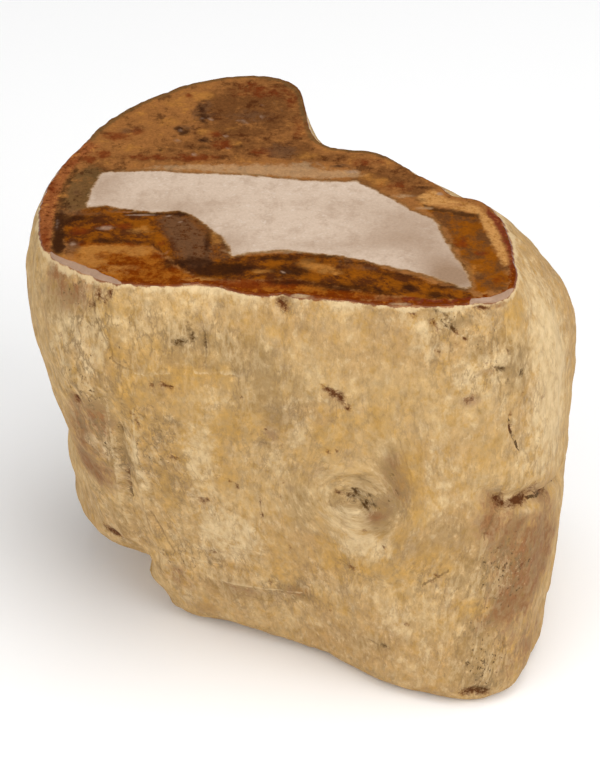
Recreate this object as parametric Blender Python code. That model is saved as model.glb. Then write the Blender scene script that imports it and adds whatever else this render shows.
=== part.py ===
"""Petrified wood: a block of fossil trunk that stands on its flat foot, its top sawn level and polished.

Metres, +Z up, the front facing -Y. The origin is at the middle of the underside of the block's box.
The block is one loft through four unlike outlines, read about an axis that leans. Lumps, hollows,
grooves and ridges then move its wall in or out, so the sawn top and the foot stay flat.
"""

import math

import bmesh
import bpy
import numpy as np
from mathutils import Vector, noise

MM = 0.001

# Driving dimensions, in millimetres
HEIGHT = 270.0
SHOULDER_HEIGHT = 205.0
MIDDLE_HEIGHT = 110.0
FOOT_ROUNDING = 16.0
LOBE_CLEARANCE = 38.0
TOP_CENTRE = (-25.0, -25.0)
FOOT_CENTRE = (12.0, 6.0)

# Outlines seen from above, anticlockwise, in millimetres before the block is centred
RIM = [
    (114, -76), (112, -49), (107, -27), (97, -14), (84, -10), (78, 0), (68, 12), (56, 27), (43, 40),
    (26, 43), (13, 50), (6, 65), (3, 93), (0, 117), (-10, 130), (-27, 135), (-48, 132), (-66, 124),
    (-92, 102), (-112, 77), (-127, 44), (-137, 18), (-143, -14), (-143, -38), (-138, -65),
    (-128, -77), (-114, -88), (-95, -100), (-71, -103), (-50, -102), (-29, -111), (0, -115),
    (21, -117), (42, -122), (62, -123), (86, -122), (107, -113), (114, -100),
]
SHOULDER = [
    (153, -20), (147, -60), (133, -95), (112, -117), (80, -127), (40, -128), (0, -122), (-40, -116),
    (-80, -110), (-118, -96), (-141, -69), (-150, -28), (-146, 25), (-132, 72), (-102, 110),
    (-58, 132), (-15, 130), (14, 104), (36, 76), (66, 60), (98, 38), (132, 13),
]
MIDDLE = [
    (154, -15), (149, -60), (137, -96), (117, -121), (85, -129), (45, -123), (5, -108), (-35, -96),
    (-75, -83), (-108, -65), (-126, -40), (-132, 0), (-131, 40), (-118, 80), (-90, 110), (-45, 128),
    (0, 122), (45, 108), (90, 92), (130, 62), (150, 25),
]
FOOT = [
    (148, -5), (144, -58), (135, -95), (123, -118), (104, -129), (72, -123), (35, -104), (16, -88),
    (-2, -77), (-21, -68), (-42, -58), (-58, -52), (-70, -47), (-80, -41), (-92, -35), (-107, -28),
    (-124, -16), (-141, 6), (-146, 38), (-128, 80), (-92, 108), (-50, 124), (0, 124), (50, 112),
    (98, 90), (133, 50),
]

# The left lobe ends above the floor between these bearings, in degrees: each pair is one ramp
LOBE_BACK_RAMP = (125.0, 150.0)
LOBE_FRONT_RAMP = (203.0, 208.0)
FOOT_RADIUS_UNDER_LOBE = 82.0
FOOT_MARGIN = 5.0

# How the wall leaves the rim: the depth that still shows its small bends, and its swell
RIM_DETAIL_DEPTH = 34.0
RIM_SOFTENING = math.radians(7.0)
RIM_SWELL = 2.2

# Lumps, and hollows with a minus height: place, reach and height
LUMPS = [
    ((28, -121, 141), 30, 6.0),
    ((29, -124, 143), 11, -7.0),
    ((98, -127, 205), 34, 2.5),
    ((-136, 4, 92), 32, 6.5),
    ((-100, -46, 45), 17, -11.0),
    ((-90, -41, 14), 20, -8.5),
    ((152, -25, 172), 34, 2.5),
    ((-116, -72, 150), 22, 2.5),
    ((-30, -98, 92), 34, 2.0),
    ((101, -130, 12), 11, -5.0),
    ((-9, -117, 267), 6, -4.0),
    ((94, -121, 268), 6, -3.0),
    ((60, 88, 150), 46, -7.0),
    ((-60, 128, 170), 40, 5.0),
    ((10, 126, 70), 38, 6.0),
    ((-112, 92, 120), 30, -5.0),
    ((130, 55, 80), 36, 5.0),
    ((112, 40, 205), 16, -5.0),
    ((130, -22, 244), 30, -3.0),
    ((153, -50, 112), 18, -3.0),
    ((147, -50, 17), 26, -2.0),
]

# Ridges, and grooves with a minus height: the points they run through, half width and height
LINES = [
    ([(-106, -96, 190), (-101, -88, 160), (-97, -72, 106), (-88, -60, 60)], 8, -4.0),
    ([(47, -128, 200), (56, -128, 170), (62, -128, 140), (61, -126, 112), (47, -122, 92)], 7, 2.8),
    ([(8, -108, 104), (26, -114, 84), (56, -122, 80), (85, -129, 104)], 7, -2.0),
    ([(103, -126, 148), (115, -121, 141), (128, -111, 138)], 6, -6.5),
    ([(128, -111, 138), (139, -92, 128), (149, -66, 121)], 4, -3.0),
    ([(-100, -104, 221), (-70, -110, 222), (-37, -115, 224)], 4, -1.2),
    ([(20, 118, 225), (16, 124, 150), (22, 124, 60)], 10, -4.5),
    ([(-95, 112, 240), (-88, 112, 160), (-98, 104, 70)], 9, -4.0),
    ([(92, 62, 190), (98, 82, 120), (104, 84, 50)], 9, 4.0),
]

# Swells, flutes along the grain and burrs: size across, size along the trunk and height.
# They fade in below the rim, which keeps to its outline.
SWELLS = (52.0, 80.0, 3.0)
FLUTES = (17.0, 110.0, 1.6)
BURRS = (13.0, 16.0, 1.0)
FADE_DEPTH = 30.0

# Mesh: points around, rings down the wall, round the foot's edge and under the lobe
AROUND = 124
WALL_RINGS = 29
EDGE_RINGS = 4
UNDER_RINGS = 4

RIND_COLOUR = (0.55, 0.40, 0.22, 1.0)
POLISHED_COLOUR = (0.34, 0.17, 0.08, 1.0)


def smooth_step(low, high, value):
    share = np.clip((value - low) / (high - low), 0.0, 1.0)
    return share * share * (3.0 - 2.0 * share)


def axis_point(height):
    """The point on the leaning axis at a height, as an array with x and y last."""
    share = ((HEIGHT - height) / HEIGHT)[..., None]
    return np.array(TOP_CENTRE) * (1.0 - share) + np.array(FOOT_CENTRE) * share


def polar_outline(outline, height):
    """Bearings and radii of an outline's points about the axis, in order of bearing."""
    offsets = np.array(outline, float) - axis_point(np.array(height))
    bearings = np.mod(np.arctan2(offsets[:, 1], offsets[:, 0]), math.tau)
    order = np.argsort(bearings)
    return bearings[order], np.hypot(offsets[:, 0], offsets[:, 1])[order]


def radius_on(curve, bearing):
    """The radius at a bearing on the smooth closed curve through an outline's points."""
    knots, radii = curve
    knots = np.concatenate([knots[-2:] - math.tau, knots, knots[:2] + math.tau])
    radii = np.concatenate([radii[-2:], radii, radii[:2]])
    slopes = np.zeros_like(radii)
    slopes[1:-1] = (radii[2:] - radii[:-2]) / (knots[2:] - knots[:-2])
    bearing = np.mod(bearing, math.tau)
    left = np.clip(np.searchsorted(knots, bearing, side="right") - 1, 1, len(knots) - 3)
    gap = knots[left + 1] - knots[left]
    t = (bearing - knots[left]) / gap
    return (
        (2 * t**3 - 3 * t**2 + 1) * radii[left]
        + (t**3 - 2 * t**2 + t) * gap * slopes[left]
        + (3 * t**2 - 2 * t**3) * radii[left + 1]
        + (t**3 - t**2) * gap * slopes[left + 1]
    )


def softened_radius(curve, bearing):
    """The same curve with its small bends averaged out."""
    steps = np.linspace(-2.0, 2.0, 9)
    weights = np.exp(-0.5 * steps**2)
    shifted = [w * radius_on(curve, bearing + s * RIM_SOFTENING) for s, w in zip(steps, weights)]
    return sum(shifted) / weights.sum()


def wall_radius(bearing, height):
    """The plain wall's distance from the axis: out from the rim to the shoulder, then down to the foot."""
    rim_curve = polar_outline(RIM, HEIGHT)
    shoulder = radius_on(polar_outline(SHOULDER, SHOULDER_HEIGHT), bearing)
    middle = radius_on(polar_outline(MIDDLE, MIDDLE_HEIGHT), bearing)
    foot = radius_on(polar_outline(FOOT, 0.0), bearing)
    soft_rim = softened_radius(rim_curve, bearing)
    small_bends = radius_on(rim_curve, bearing) - soft_rim
    rim = soft_rim + small_bends * np.exp((height - HEIGHT) / RIM_DETAIL_DEPTH)
    drop = np.clip((HEIGHT - height) / (HEIGHT - SHOULDER_HEIGHT), 0.0, 1.0)
    swell = (1.0 - np.exp(-RIM_SWELL * drop)) / (1.0 - math.exp(-RIM_SWELL))
    upper = rim + (shoulder - rim) * swell
    down = np.clip((SHOULDER_HEIGHT - height) / SHOULDER_HEIGHT, 0.0, 1.0)
    half = (SHOULDER_HEIGHT - MIDDLE_HEIGHT) / SHOULDER_HEIGHT
    lower = (
        shoulder * (down - half) * (down - 1.0) / half
        + middle * down * (down - 1.0) / (half * (half - 1.0))
        + foot * down * (down - half) / (1.0 - half)
    )
    return np.where(height >= SHOULDER_HEIGHT, upper, lower)


def lower_edge(bearing):
    """The height at which the wall ends: the floor, but higher under the left lobe."""
    degrees = np.degrees(np.mod(bearing, math.tau))
    return LOBE_CLEARANCE * smooth_step(*LOBE_BACK_RAMP, degrees) * (1 - smooth_step(*LOBE_FRONT_RAMP, degrees))


def distance_to_line(points, corners):
    """The distance of each point from a broken line."""
    nearest = np.full(points.shape[:-1], np.inf)
    for start, end in zip(corners[:-1], corners[1:]):
        start = np.array(start, float)
        run = np.array(end, float) - start
        share = np.clip(((points - start) @ run) / (run @ run), 0.0, 1.0)
        nearest = np.minimum(nearest, np.linalg.norm(points - start - share[..., None] * run, axis=-1))
    return nearest


def noise_field(points, across, along):
    """Smooth noise from -1 to 1, stretched along the trunk."""
    scaled = points / np.array([across, across, along])
    return np.array([noise.noise(Vector(p)) for p in scaled.reshape(-1, 3)]).reshape(points.shape[:-1])


def relief(points):
    """How far the stone stands out from its plain wall at each point."""
    total = np.zeros(points.shape[:-1])
    for place, reach, height in LUMPS:
        far = np.linalg.norm(points - np.array(place, float), axis=-1)
        total += height * np.exp(-((far / reach) ** 2) * 2.0)
    for corners, half_width, height in LINES:
        total += height * np.exp(-((distance_to_line(points, corners) / half_width) ** 2))
    fade = smooth_step(-FADE_DEPTH / 3, FADE_DEPTH, HEIGHT - points[..., 2])
    for across, along, height in (SWELLS, FLUTES, BURRS):
        total += height * fade * noise_field(points, across, along)
    return total


def wall_points(bearing, height):
    """The finished wall: plain radius, rounded lower edge and relief."""
    over_edge = np.clip((height - lower_edge(bearing)) / FOOT_ROUNDING, 0.0, 1.0)
    rounding = FOOT_ROUNDING * (1.0 - np.sqrt(np.maximum(0.0, 1.0 - (1.0 - over_edge) ** 2)))
    radius = wall_radius(bearing, height) - rounding
    outward = np.stack([np.cos(bearing), np.sin(bearing), np.zeros_like(bearing)], axis=-1)
    centre = np.concatenate([axis_point(height), height[..., None]], axis=-1)
    plain = centre + radius[..., None] * outward
    return plain + relief(plain)[..., None] * outward


def wall_rings():
    """Rings from the rim down to the lower edge, closer together where the edge is rounded."""
    bearing = np.linspace(0.0, math.tau, AROUND, endpoint=False)
    edge = lower_edge(bearing)
    rings = []
    for share in np.linspace(0.0, 1.0, WALL_RINGS):
        rings.append(wall_points(bearing, HEIGHT + (edge + FOOT_ROUNDING - HEIGHT) * share))
    for turn in np.linspace(0.0, math.pi / 2, EDGE_RINGS + 1)[1:]:
        rings.append(wall_points(bearing, edge + FOOT_ROUNDING * (1.0 - math.sin(turn))))
    return rings


def under_rings(edge_ring):
    """Rings from the lower edge in to the flat foot: level all round, but falling from under the lobe."""
    centre = np.array([*FOOT_CENTRE, 0.0])
    offsets = (edge_ring - centre)[:, :2]
    far = np.linalg.norm(offsets, axis=1)
    edge_height = edge_ring[:, 2]
    lobe_share = edge_height / LOBE_CLEARANCE
    near = far - FOOT_MARGIN
    near = near + (np.minimum(near, FOOT_RADIUS_UNDER_LOBE) - near) * lobe_share
    rings = []
    for share in np.linspace(0.0, 1.0, UNDER_RINGS + 1)[1:]:
        radius = far + (near - far) * share
        flat = centre[:2] + offsets / far[:, None] * radius[:, None]
        rings.append(np.column_stack([flat, edge_height * (1.0 - share**2)]))
    return rings


def centred(rings):
    """The rings in metres, moved so that the origin is at the middle of the box's underside."""
    points = np.concatenate(rings)
    low, high = points.min(axis=0), points.max(axis=0)
    shift = np.array([(low[0] + high[0]) / 2, (low[1] + high[1]) / 2, low[2]])
    return [(ring - shift) * MM for ring in rings]


def skin(rings):
    """One closed mesh: quads between neighbouring rings, and a flat face on the top and on the foot."""
    mesh = bmesh.new()
    loops = [[mesh.verts.new(point) for point in ring] for ring in rings]
    for upper, lower in zip(loops[:-1], loops[1:]):
        for i in range(AROUND):
            after = (i + 1) % AROUND
            mesh.faces.new((upper[i], lower[i], lower[after], upper[after]))
    top = mesh.faces.new(loops[0])
    mesh.faces.new(list(reversed(loops[-1])))
    bmesh.ops.recalc_face_normals(mesh, faces=mesh.faces)
    top.material_index = 1
    for face in mesh.faces:
        face.smooth = len(face.verts) == 4
    return mesh


def stone_material(name, colour, roughness):
    material = bpy.data.materials.new(name)
    material.use_nodes = True
    shader = material.node_tree.nodes["Principled BSDF"]
    shader.inputs["Base Color"].default_value = colour
    shader.inputs["Roughness"].default_value = roughness
    shader.inputs["Metallic"].default_value = 0.0
    return material


def clear_scene():
    for thing in list(bpy.data.objects):
        bpy.data.objects.remove(thing)


def build_block(collection):
    rings = wall_rings()
    rings += under_rings(rings[-1])
    mesh = skin(centred(rings))
    data = bpy.data.meshes.new("petrified_wood")
    mesh.to_mesh(data)
    mesh.free()
    data.materials.append(stone_material("weathered_rind", RIND_COLOUR, 0.8))
    data.materials.append(stone_material("polished_top", POLISHED_COLOUR, 0.15))
    block = bpy.data.objects.new("petrified_wood", data)
    collection.objects.link(block)
    return block


def main():
    clear_scene()
    collection = bpy.data.collections.new("petrified_wood")
    bpy.context.scene.collection.children.link(collection)
    build_block(collection)


main()
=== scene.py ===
"""The finish of a block of petrified wood: a weathered buff rind and a sawn, polished top.

The block is remade at a fine pitch from its four outlines, in millimetres about a leaning axis. Pits,
cracks, folds and chips are cut into it, and the places of its stains and agate zones are kept on its
points for the two stone finishes to read. A mark is named by its pixel in the 600 x 776 photograph and
set on the stone along the sight line, so it belongs to the stone from every side.
"""

import math
import random

import bpy
import numpy as np
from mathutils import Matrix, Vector, noise
from mathutils.bvhtree import BVHTree


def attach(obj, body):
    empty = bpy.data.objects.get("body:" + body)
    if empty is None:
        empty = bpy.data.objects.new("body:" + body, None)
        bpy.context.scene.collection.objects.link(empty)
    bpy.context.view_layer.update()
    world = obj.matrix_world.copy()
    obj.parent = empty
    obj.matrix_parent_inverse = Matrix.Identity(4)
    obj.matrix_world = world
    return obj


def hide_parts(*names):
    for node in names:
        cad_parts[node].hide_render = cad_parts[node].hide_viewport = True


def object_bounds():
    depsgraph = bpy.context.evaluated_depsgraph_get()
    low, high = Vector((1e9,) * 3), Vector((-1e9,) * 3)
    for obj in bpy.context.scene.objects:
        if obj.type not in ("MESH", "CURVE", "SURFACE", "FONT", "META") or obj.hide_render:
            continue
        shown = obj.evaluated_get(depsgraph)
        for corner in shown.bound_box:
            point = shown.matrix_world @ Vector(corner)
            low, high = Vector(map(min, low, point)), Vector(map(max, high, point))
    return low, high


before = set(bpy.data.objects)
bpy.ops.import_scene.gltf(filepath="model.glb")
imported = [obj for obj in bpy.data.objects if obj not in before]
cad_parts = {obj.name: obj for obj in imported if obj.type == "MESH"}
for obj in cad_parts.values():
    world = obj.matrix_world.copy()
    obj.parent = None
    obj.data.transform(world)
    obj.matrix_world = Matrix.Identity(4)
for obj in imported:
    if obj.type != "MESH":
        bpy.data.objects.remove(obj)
cad_low, cad_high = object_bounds()

MM = 0.001

# The camera, in millimetres and picture pixels
PICTURE_MIDDLE = (300.0, 388.0)
PICTURE_HEIGHT = 776.0
CAMERA_ELEVATION = math.radians(34.0)
CAMERA_DISTANCE = 1600.0
CAMERA_AIM = np.array([0.0, 0.0, 135.0])
FOCAL_PIXELS = 2735.0
SENSOR_WIDTH = 36.0
SCREEN_RIGHT = np.array([1.0, 0.0, 0.0])
SCREEN_UP = np.array([0.0, math.sin(CAMERA_ELEVATION), math.cos(CAMERA_ELEVATION)])
TOWARDS_CAMERA = np.array([0.0, -math.cos(CAMERA_ELEVATION), math.sin(CAMERA_ELEVATION)])
CAMERA_PLACE = CAMERA_AIM + CAMERA_DISTANCE * TOWARDS_CAMERA

# A picture place just past the stone's edge is drawn back towards the stone's middle in these steps
STONE_MIDDLE = np.array([300.0, 450.0])
DRAW_BACK_TRIES = 40
DRAW_BACK_SHARE = 0.02

# Driving dimensions of the block, in millimetres
HEIGHT = 270.0
SHOULDER_HEIGHT = 205.0
MIDDLE_HEIGHT = 110.0
FOOT_ROUNDING = 16.0
LOBE_CLEARANCE = 38.0
TOP_CENTRE = (-25.0, -25.0)
FOOT_CENTRE = (12.0, 6.0)

# Outlines seen from above, anticlockwise, in millimetres before the block is centred
RIM = [
    (114, -76), (112, -49), (107, -27), (97, -14), (84, -10), (78, 0), (68, 12), (56, 27), (43, 40),
    (26, 43), (13, 50), (6, 65), (3, 93), (0, 117), (-10, 130), (-27, 135), (-48, 132), (-66, 124),
    (-92, 102), (-112, 77), (-127, 44), (-137, 18), (-143, -14), (-143, -38), (-138, -65),
    (-128, -77), (-114, -88), (-95, -100), (-71, -103), (-50, -102), (-29, -111), (0, -115),
    (21, -117), (42, -122), (62, -123), (86, -122), (107, -113), (114, -100),
]
SHOULDER = [
    (153, -20), (147, -60), (133, -95), (112, -117), (80, -127), (40, -128), (0, -122), (-40, -116),
    (-80, -110), (-118, -96), (-141, -69), (-150, -28), (-146, 25), (-132, 72), (-102, 110),
    (-58, 132), (-15, 130), (14, 104), (36, 76), (66, 60), (98, 38), (132, 13),
]
MIDDLE = [
    (154, -15), (149, -60), (137, -96), (117, -121), (85, -129), (45, -123), (5, -108), (-35, -96),
    (-75, -83), (-108, -65), (-126, -40), (-132, 0), (-131, 40), (-118, 80), (-90, 110), (-45, 128),
    (0, 122), (45, 108), (90, 92), (130, 62), (150, 25),
]
FOOT = [
    (148, -5), (144, -58), (135, -95), (123, -118), (104, -129), (72, -123), (35, -104), (16, -88),
    (-2, -77), (-21, -68), (-42, -58), (-58, -52), (-70, -47), (-80, -41), (-92, -35), (-107, -28),
    (-124, -16), (-141, 6), (-146, 38), (-128, 80), (-92, 108), (-50, 124), (0, 124), (50, 112),
    (98, 90), (133, 50),
]

# The left lobe ends above the floor between these bearings, in degrees: each pair is one ramp
LOBE_BACK_RAMP = (125.0, 150.0)
LOBE_FRONT_RAMP = (203.0, 208.0)
FOOT_RADIUS_UNDER_LOBE = 82.0
FOOT_MARGIN = 5.0

# How the wall leaves the rim: the depth that still shows its small bends, and its swell
RIM_DETAIL_DEPTH = 34.0
RIM_SOFTENING = math.radians(7.0)
RIM_SWELL = 2.2

# Lumps, and hollows with a minus height: place, reach and height
LUMP_FALLOFF = 2.0
LUMPS = [
    ((28, -121, 141), 30, 6.0),
    ((29, -124, 143), 11, -7.0),
    ((98, -127, 205), 34, 2.5),
    ((-136, 4, 92), 32, 6.5),
    ((-100, -46, 45), 17, -11.0),
    ((-90, -41, 14), 20, -8.5),
    ((152, -25, 172), 34, 2.5),
    ((-116, -72, 150), 22, 2.5),
    ((-30, -98, 92), 34, 2.0),
    ((101, -130, 12), 11, -5.0),
    ((-9, -117, 267), 6, -4.0),
    ((94, -121, 268), 6, -3.0),
    ((60, 88, 150), 46, -7.0),
    ((-60, 128, 170), 40, 5.0),
    ((10, 126, 70), 38, 6.0),
    ((-112, 92, 120), 30, -5.0),
    ((130, 55, 80), 36, 5.0),
    ((112, 40, 205), 16, -5.0),
    ((130, -22, 244), 30, -3.0),
    ((153, -50, 112), 18, -3.0),
    ((147, -50, 17), 26, -2.0),
]

# Ridges, and grooves with a minus height: the points they run through, half width and height
LINES = [
    ([(-106, -96, 190), (-101, -88, 160), (-97, -72, 106), (-88, -60, 60)], 8, -4.0),
    ([(47, -128, 200), (56, -128, 170), (62, -128, 140), (61, -126, 112), (47, -122, 92)], 7, 2.8),
    ([(8, -108, 104), (26, -114, 84), (56, -122, 80), (85, -129, 104)], 7, -2.0),
    ([(103, -126, 148), (115, -121, 141), (128, -111, 138)], 6, -6.5),
    ([(128, -111, 138), (139, -92, 128), (149, -66, 121)], 4, -3.0),
    ([(-100, -104, 221), (-70, -110, 222), (-37, -115, 224)], 4, -1.2),
    ([(20, 118, 225), (16, 124, 150), (22, 124, 60)], 10, -4.5),
    ([(-95, 112, 240), (-88, 112, 160), (-98, 104, 70)], 9, -4.0),
    ([(92, 62, 190), (98, 82, 120), (104, 84, 50)], 9, 4.0),
]

# Swells, flutes along the grain and burrs: size across, size along the trunk and height. They fade in
# below the rim, which keeps to its outline.
SWELLS = (52.0, 80.0, 3.0)
FLUTES = (17.0, 110.0, 1.6)
BURRS = (13.0, 16.0, 1.0)
FADE_DEPTH = 30.0

# The finer relief of the weathered face, in the same terms, and how far it fades in below the rim
FIBRES = (3.6, 46.0, 0.30)
GRAIN_RIDGES = (8.0, 70.0, 0.45)
CRUMBS = (4.4, 5.5, 0.28)
FINE_FADE_DEPTH = 5.0

# Pitch of the fine mesh. Columns stand closer together at the front, by the share FRONT_CROWDING.
COLUMNS = 512
FRONT_BEARING = math.radians(270.0)
FRONT_CROWDING = 0.38
WALL_RINGS = 122
EDGE_RINGS = 8
UNDER_RINGS = 7
TOP_RINGS = 39
RIM_EASING = 0.7
RIM_INSETS = (0.7, 1.6, 2.6, 3.8, 5.2, 7.2, 10.0)

# The fine relief fades out this near to the floor, so that the foot stays flat
FLOOR_FADE = 6.0

# Chips along the sawn rim: how long and how deep, and how far down the wall they fade
RIM_CHIPS = [(9.0, 1.5), (3.4, 1.3)]
RIM_CHIP_FADE = 1.8
RIM_CHIP_STRETCH = 4.0

# The ground edge strips on the front rim: picture places of both ends, width and drop
EDGE_STRIPS = [
    ((51, 251), (119, 284), 4.0, 1.6),
    ((462, 300), (514, 288), 3.8, 1.5),
]

# The knot: its picture place, and the radius inside which the grain runs in rings
KNOT = (352, 500)
KNOT_RADIUS = 21.0
KNOT_DEPTH_SHARE = 0.5
RING_PITCH = 3.4
RING_HEIGHT = 0.35
RINGS_BEGIN = (3.0, 9.0)
RINGS_END = (34.0, 18.0)

# How far the grain leans to the right on its way down, at the middle and for each millimetre left of it
GRAIN_LEAN = 0.02
GRAIN_LEAN_GROWTH = 0.0010
GRAIN_LEAN_LIMITS = (-0.10, 0.32)

# Cracks, folds and fine ridges by their picture places: half width and height in millimetres, and how
# dark the line is, or with a minus how pale. A dark line is the crack's own dark fill together with
# painted shade in a groove or under a ledge; a pale line is a painted highlight on a ridge or ledge.
CRACKS = [
    ([(93, 286), (92, 300), (95, 318), (102, 336), (110, 350), (112, 361), (121, 367), (132, 371)],
     1.2, -0.9, 0.38),
    ([(88, 330), (90, 345), (96, 356)], 1.1, -0.5, 0.15),
    ([(133, 373), (150, 374), (172, 372), (190, 373), (215, 372), (237, 374)], 1.3, 0.9, -0.5),
    ([(132, 370), (150, 370), (172, 368), (190, 369), (215, 368), (235, 370)], 1.2, -0.6, 0.08),
    ([(322, 497), (314, 505), (316, 514), (328, 522)], 1.4, -0.5, 0.15),
    ([(322, 478), (338, 470), (356, 470), (374, 477), (388, 492), (395, 508)], 1.6, 0.6, 0.0),
    ([(322, 486), (336, 477), (354, 476), (370, 482), (382, 497)], 1.3, -0.7, 0.2),
    ([(336, 520), (352, 528), (372, 530), (386, 524)], 1.6, 0.5, 0.0),
    ([(344, 498), (352, 502), (360, 508)], 1.0, 0.7, 0.0),
    ([(529, 498), (538, 496), (546, 488), (554, 479), (561, 466)], 2.2, -1.5, 1.2),
    ([(536, 489), (545, 494), (546, 510), (545, 530)], 1.2, -0.9, 0.35),
    ([(546, 530), (546, 548), (541, 568)], 1.1, -0.6, 0.17),
    ([(496, 508), (493, 520), (488, 530), (485, 538)], 1.2, -0.9, 0.35),
    ([(503, 505), (499, 515), (494, 523)], 1.1, -0.6, 0.2),
    ([(510, 421), (512, 430), (514, 438), (518, 448)], 1.7, -1.2, 1.2),
    ([(520, 455), (524, 470), (528, 484)], 1.1, -0.5, 0.12),
    ([(126, 466), (128, 480), (131, 496)], 1.4, -1.6, 0.8),
    ([(131, 496), (134, 512), (136, 528)], 1.1, -0.8, 0.23),
    ([(120, 425), (123, 455), (124, 480), (128, 510), (137, 532)], 1.8, -1.2, 0.1),
    ([(108, 405), (113, 440), (117, 470), (121, 500), (129, 522)], 1.9, 1.1, -0.4),
    ([(133, 410), (136, 445), (139, 480), (146, 510), (156, 535)], 1.7, 1.0, -0.4),
    ([(142, 408), (146, 440), (149, 475), (153, 500)], 1.4, -0.8, 0.11),
    ([(157, 420), (160, 450), (164, 480), (172, 505)], 1.4, -0.6, 0.06),
    ([(150, 512), (159, 527), (167, 541), (174, 553)], 1.3, -1.1, 0.35),
    ([(158, 508), (166, 524), (176, 540), (186, 552)], 1.2, -0.8, 0.17),
    ([(146, 524), (156, 540), (163, 556), (166, 572)], 1.5, 0.9, 0.0),
    ([(168, 514), (180, 532), (196, 547)], 1.5, 0.7, -0.3),
    ([(228, 514), (240, 524), (254, 531)], 1.2, 0.4, -0.5),
    ([(214, 538), (232, 546), (250, 548)], 1.2, 0.4, -0.5),
    ([(262, 512), (258, 528), (266, 540)], 1.1, 0.3, -0.35),
    ([(292, 596), (306, 612), (318, 634)], 1.2, 0.4, -0.35),
    ([(246, 596), (270, 602), (296, 602)], 1.2, -0.5, 0.2),
    ([(180, 552), (196, 560), (220, 563)], 1.2, 0.5, -0.4),
    ([(196, 545), (215, 547), (235, 548), (258, 550), (275, 543)], 1.4, 0.9, 0.0),
    ([(200, 551), (222, 553), (245, 555), (262, 556)], 1.3, -0.7, 0.1),
    ([(205, 528), (222, 536), (240, 540)], 1.2, 0.5, -0.5),
    ([(222, 580), (240, 584), (262, 588), (285, 590), (300, 592)], 1.5, 1.0, -0.5),
    ([(224, 585), (242, 589), (262, 593)], 1.3, -0.6, 0.12),
    ([(217, 577), (232, 580), (246, 583)], 1.2, -0.6, 0.15),
    ([(257, 498), (261, 508), (263, 522)], 1.3, -0.8, 0.23),
    ([(226, 478), (233, 482), (238, 488)], 1.1, -0.5, 0.17),
    ([(398, 436), (404, 452), (410, 472), (414, 492), (414, 512)], 1.7, -0.8, 0.14),
    ([(392, 440), (399, 458), (405, 478), (408, 500)], 1.4, 0.5, 0.0),
    ([(424, 598), (424, 625), (420, 650), (414, 672)], 1.1, 0.6, -0.35),
    ([(429, 600), (428, 628), (423, 654), (418, 674)], 1.1, -0.6, 0.11),
    ([(434, 600), (433, 628), (428, 656), (423, 676)], 1.1, 0.6, -0.35),
    ([(440, 602), (439, 630), (434, 656), (428, 677)], 1.1, -0.6, 0.11),
    ([(446, 604), (444, 632), (440, 658), (434, 678)], 1.1, 0.6, -0.3),
    ([(470, 606), (468, 628), (468, 650), (465, 676)], 1.3, -0.7, 0.17),
    ([(478, 610), (478, 632), (477, 652)], 1.1, -0.4, 0.11),
    ([(504, 636), (506, 652), (503, 668)], 1.2, -0.9, 0.35),
    ([(513, 660), (508, 678), (500, 690)], 1.2, -0.6, 0.17),
    ([(424, 585), (432, 581), (440, 577), (447, 572)], 1.2, -0.8, 0.55),
    ([(370, 640), (380, 646), (388, 649)], 1.2, -0.8, 0.35),
    ([(340, 560), (348, 566), (356, 570)], 1.2, -0.7, 0.25),
    ([(170, 335), (172, 352), (170, 366)], 1.0, -0.5, 0.17),
    ([(204, 332), (206, 350), (205, 366)], 1.2, -0.6, 0.35),
    ([(212, 336), (213, 350)], 1.0, -0.4, 0.2),
    ([(60, 330), (64, 352), (70, 372)], 1.2, -0.5, 0.12),
]

# How far the colour of a line reaches, the distance kept where no line is near, and the length in
# pixels of the straight runs that lay a line on the stone
CRACK_REACH = 2.4
CRACK_MARGIN = 8.0
TRACE_STEP = 5.0

# Where dark specks crowd the stone: picture ovals and strength
SPECKLED = [
    (468, 338, 44, 26, .8), (500, 372, 30, 26, .8), (500, 560, 34, 40, .9), (228, 352, 26, 28, .4),
    (478, 645, 24, 40, .9), (165, 446, 20, 40, .4), (372, 505, 26, 18, .9), (352, 568, 34, 14, .5),
    (300, 590, 24, 14, .7), (90, 300, 34, 22, .6), (120, 470, 12, 50, .3), (150, 480, 26, 60, .4),
    (70, 330, 20, 40, .3), (320, 420, 26, 30, .5), (205, 500, 24, 16, .5), (430, 580, 30, 18, .5),
    (380, 650, 20, 14, .4), (530, 440, 18, 40, .5), (175, 570, 16, 24, .5), (262, 395, 34, 34, .35),
    (520, 640, 20, 40, .6), (60, 270, 20, 20, .6), (110, 350, 26, 24, .3), (440, 315, 26, 10, .8),
    (282, 310, 10, 8, .8), (240, 590, 40, 14, .4), (92, 430, 30, 44, .8), (100, 500, 26, 40, .7),
    (520, 570, 30, 30, .7), (75, 380, 20, 24, .6), (200, 560, 40, 16, .4), (345, 500, 30, 16, .5),
    (260, 460, 30, 30, .3), (140, 330, 50, 40, .25), (140, 420, 60, 70, .35), (215, 350, 40, 24, .2),
    (85, 340, 26, 40, .2), (210, 570, 60, 26, .3), (485, 675, 20, 20, .8), (445, 322, 16, 12, .5),
    (330, 590, 60, 30, .3), (180, 335, 26, 20, .5), (402, 480, 12, 36, .3),
]

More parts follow.
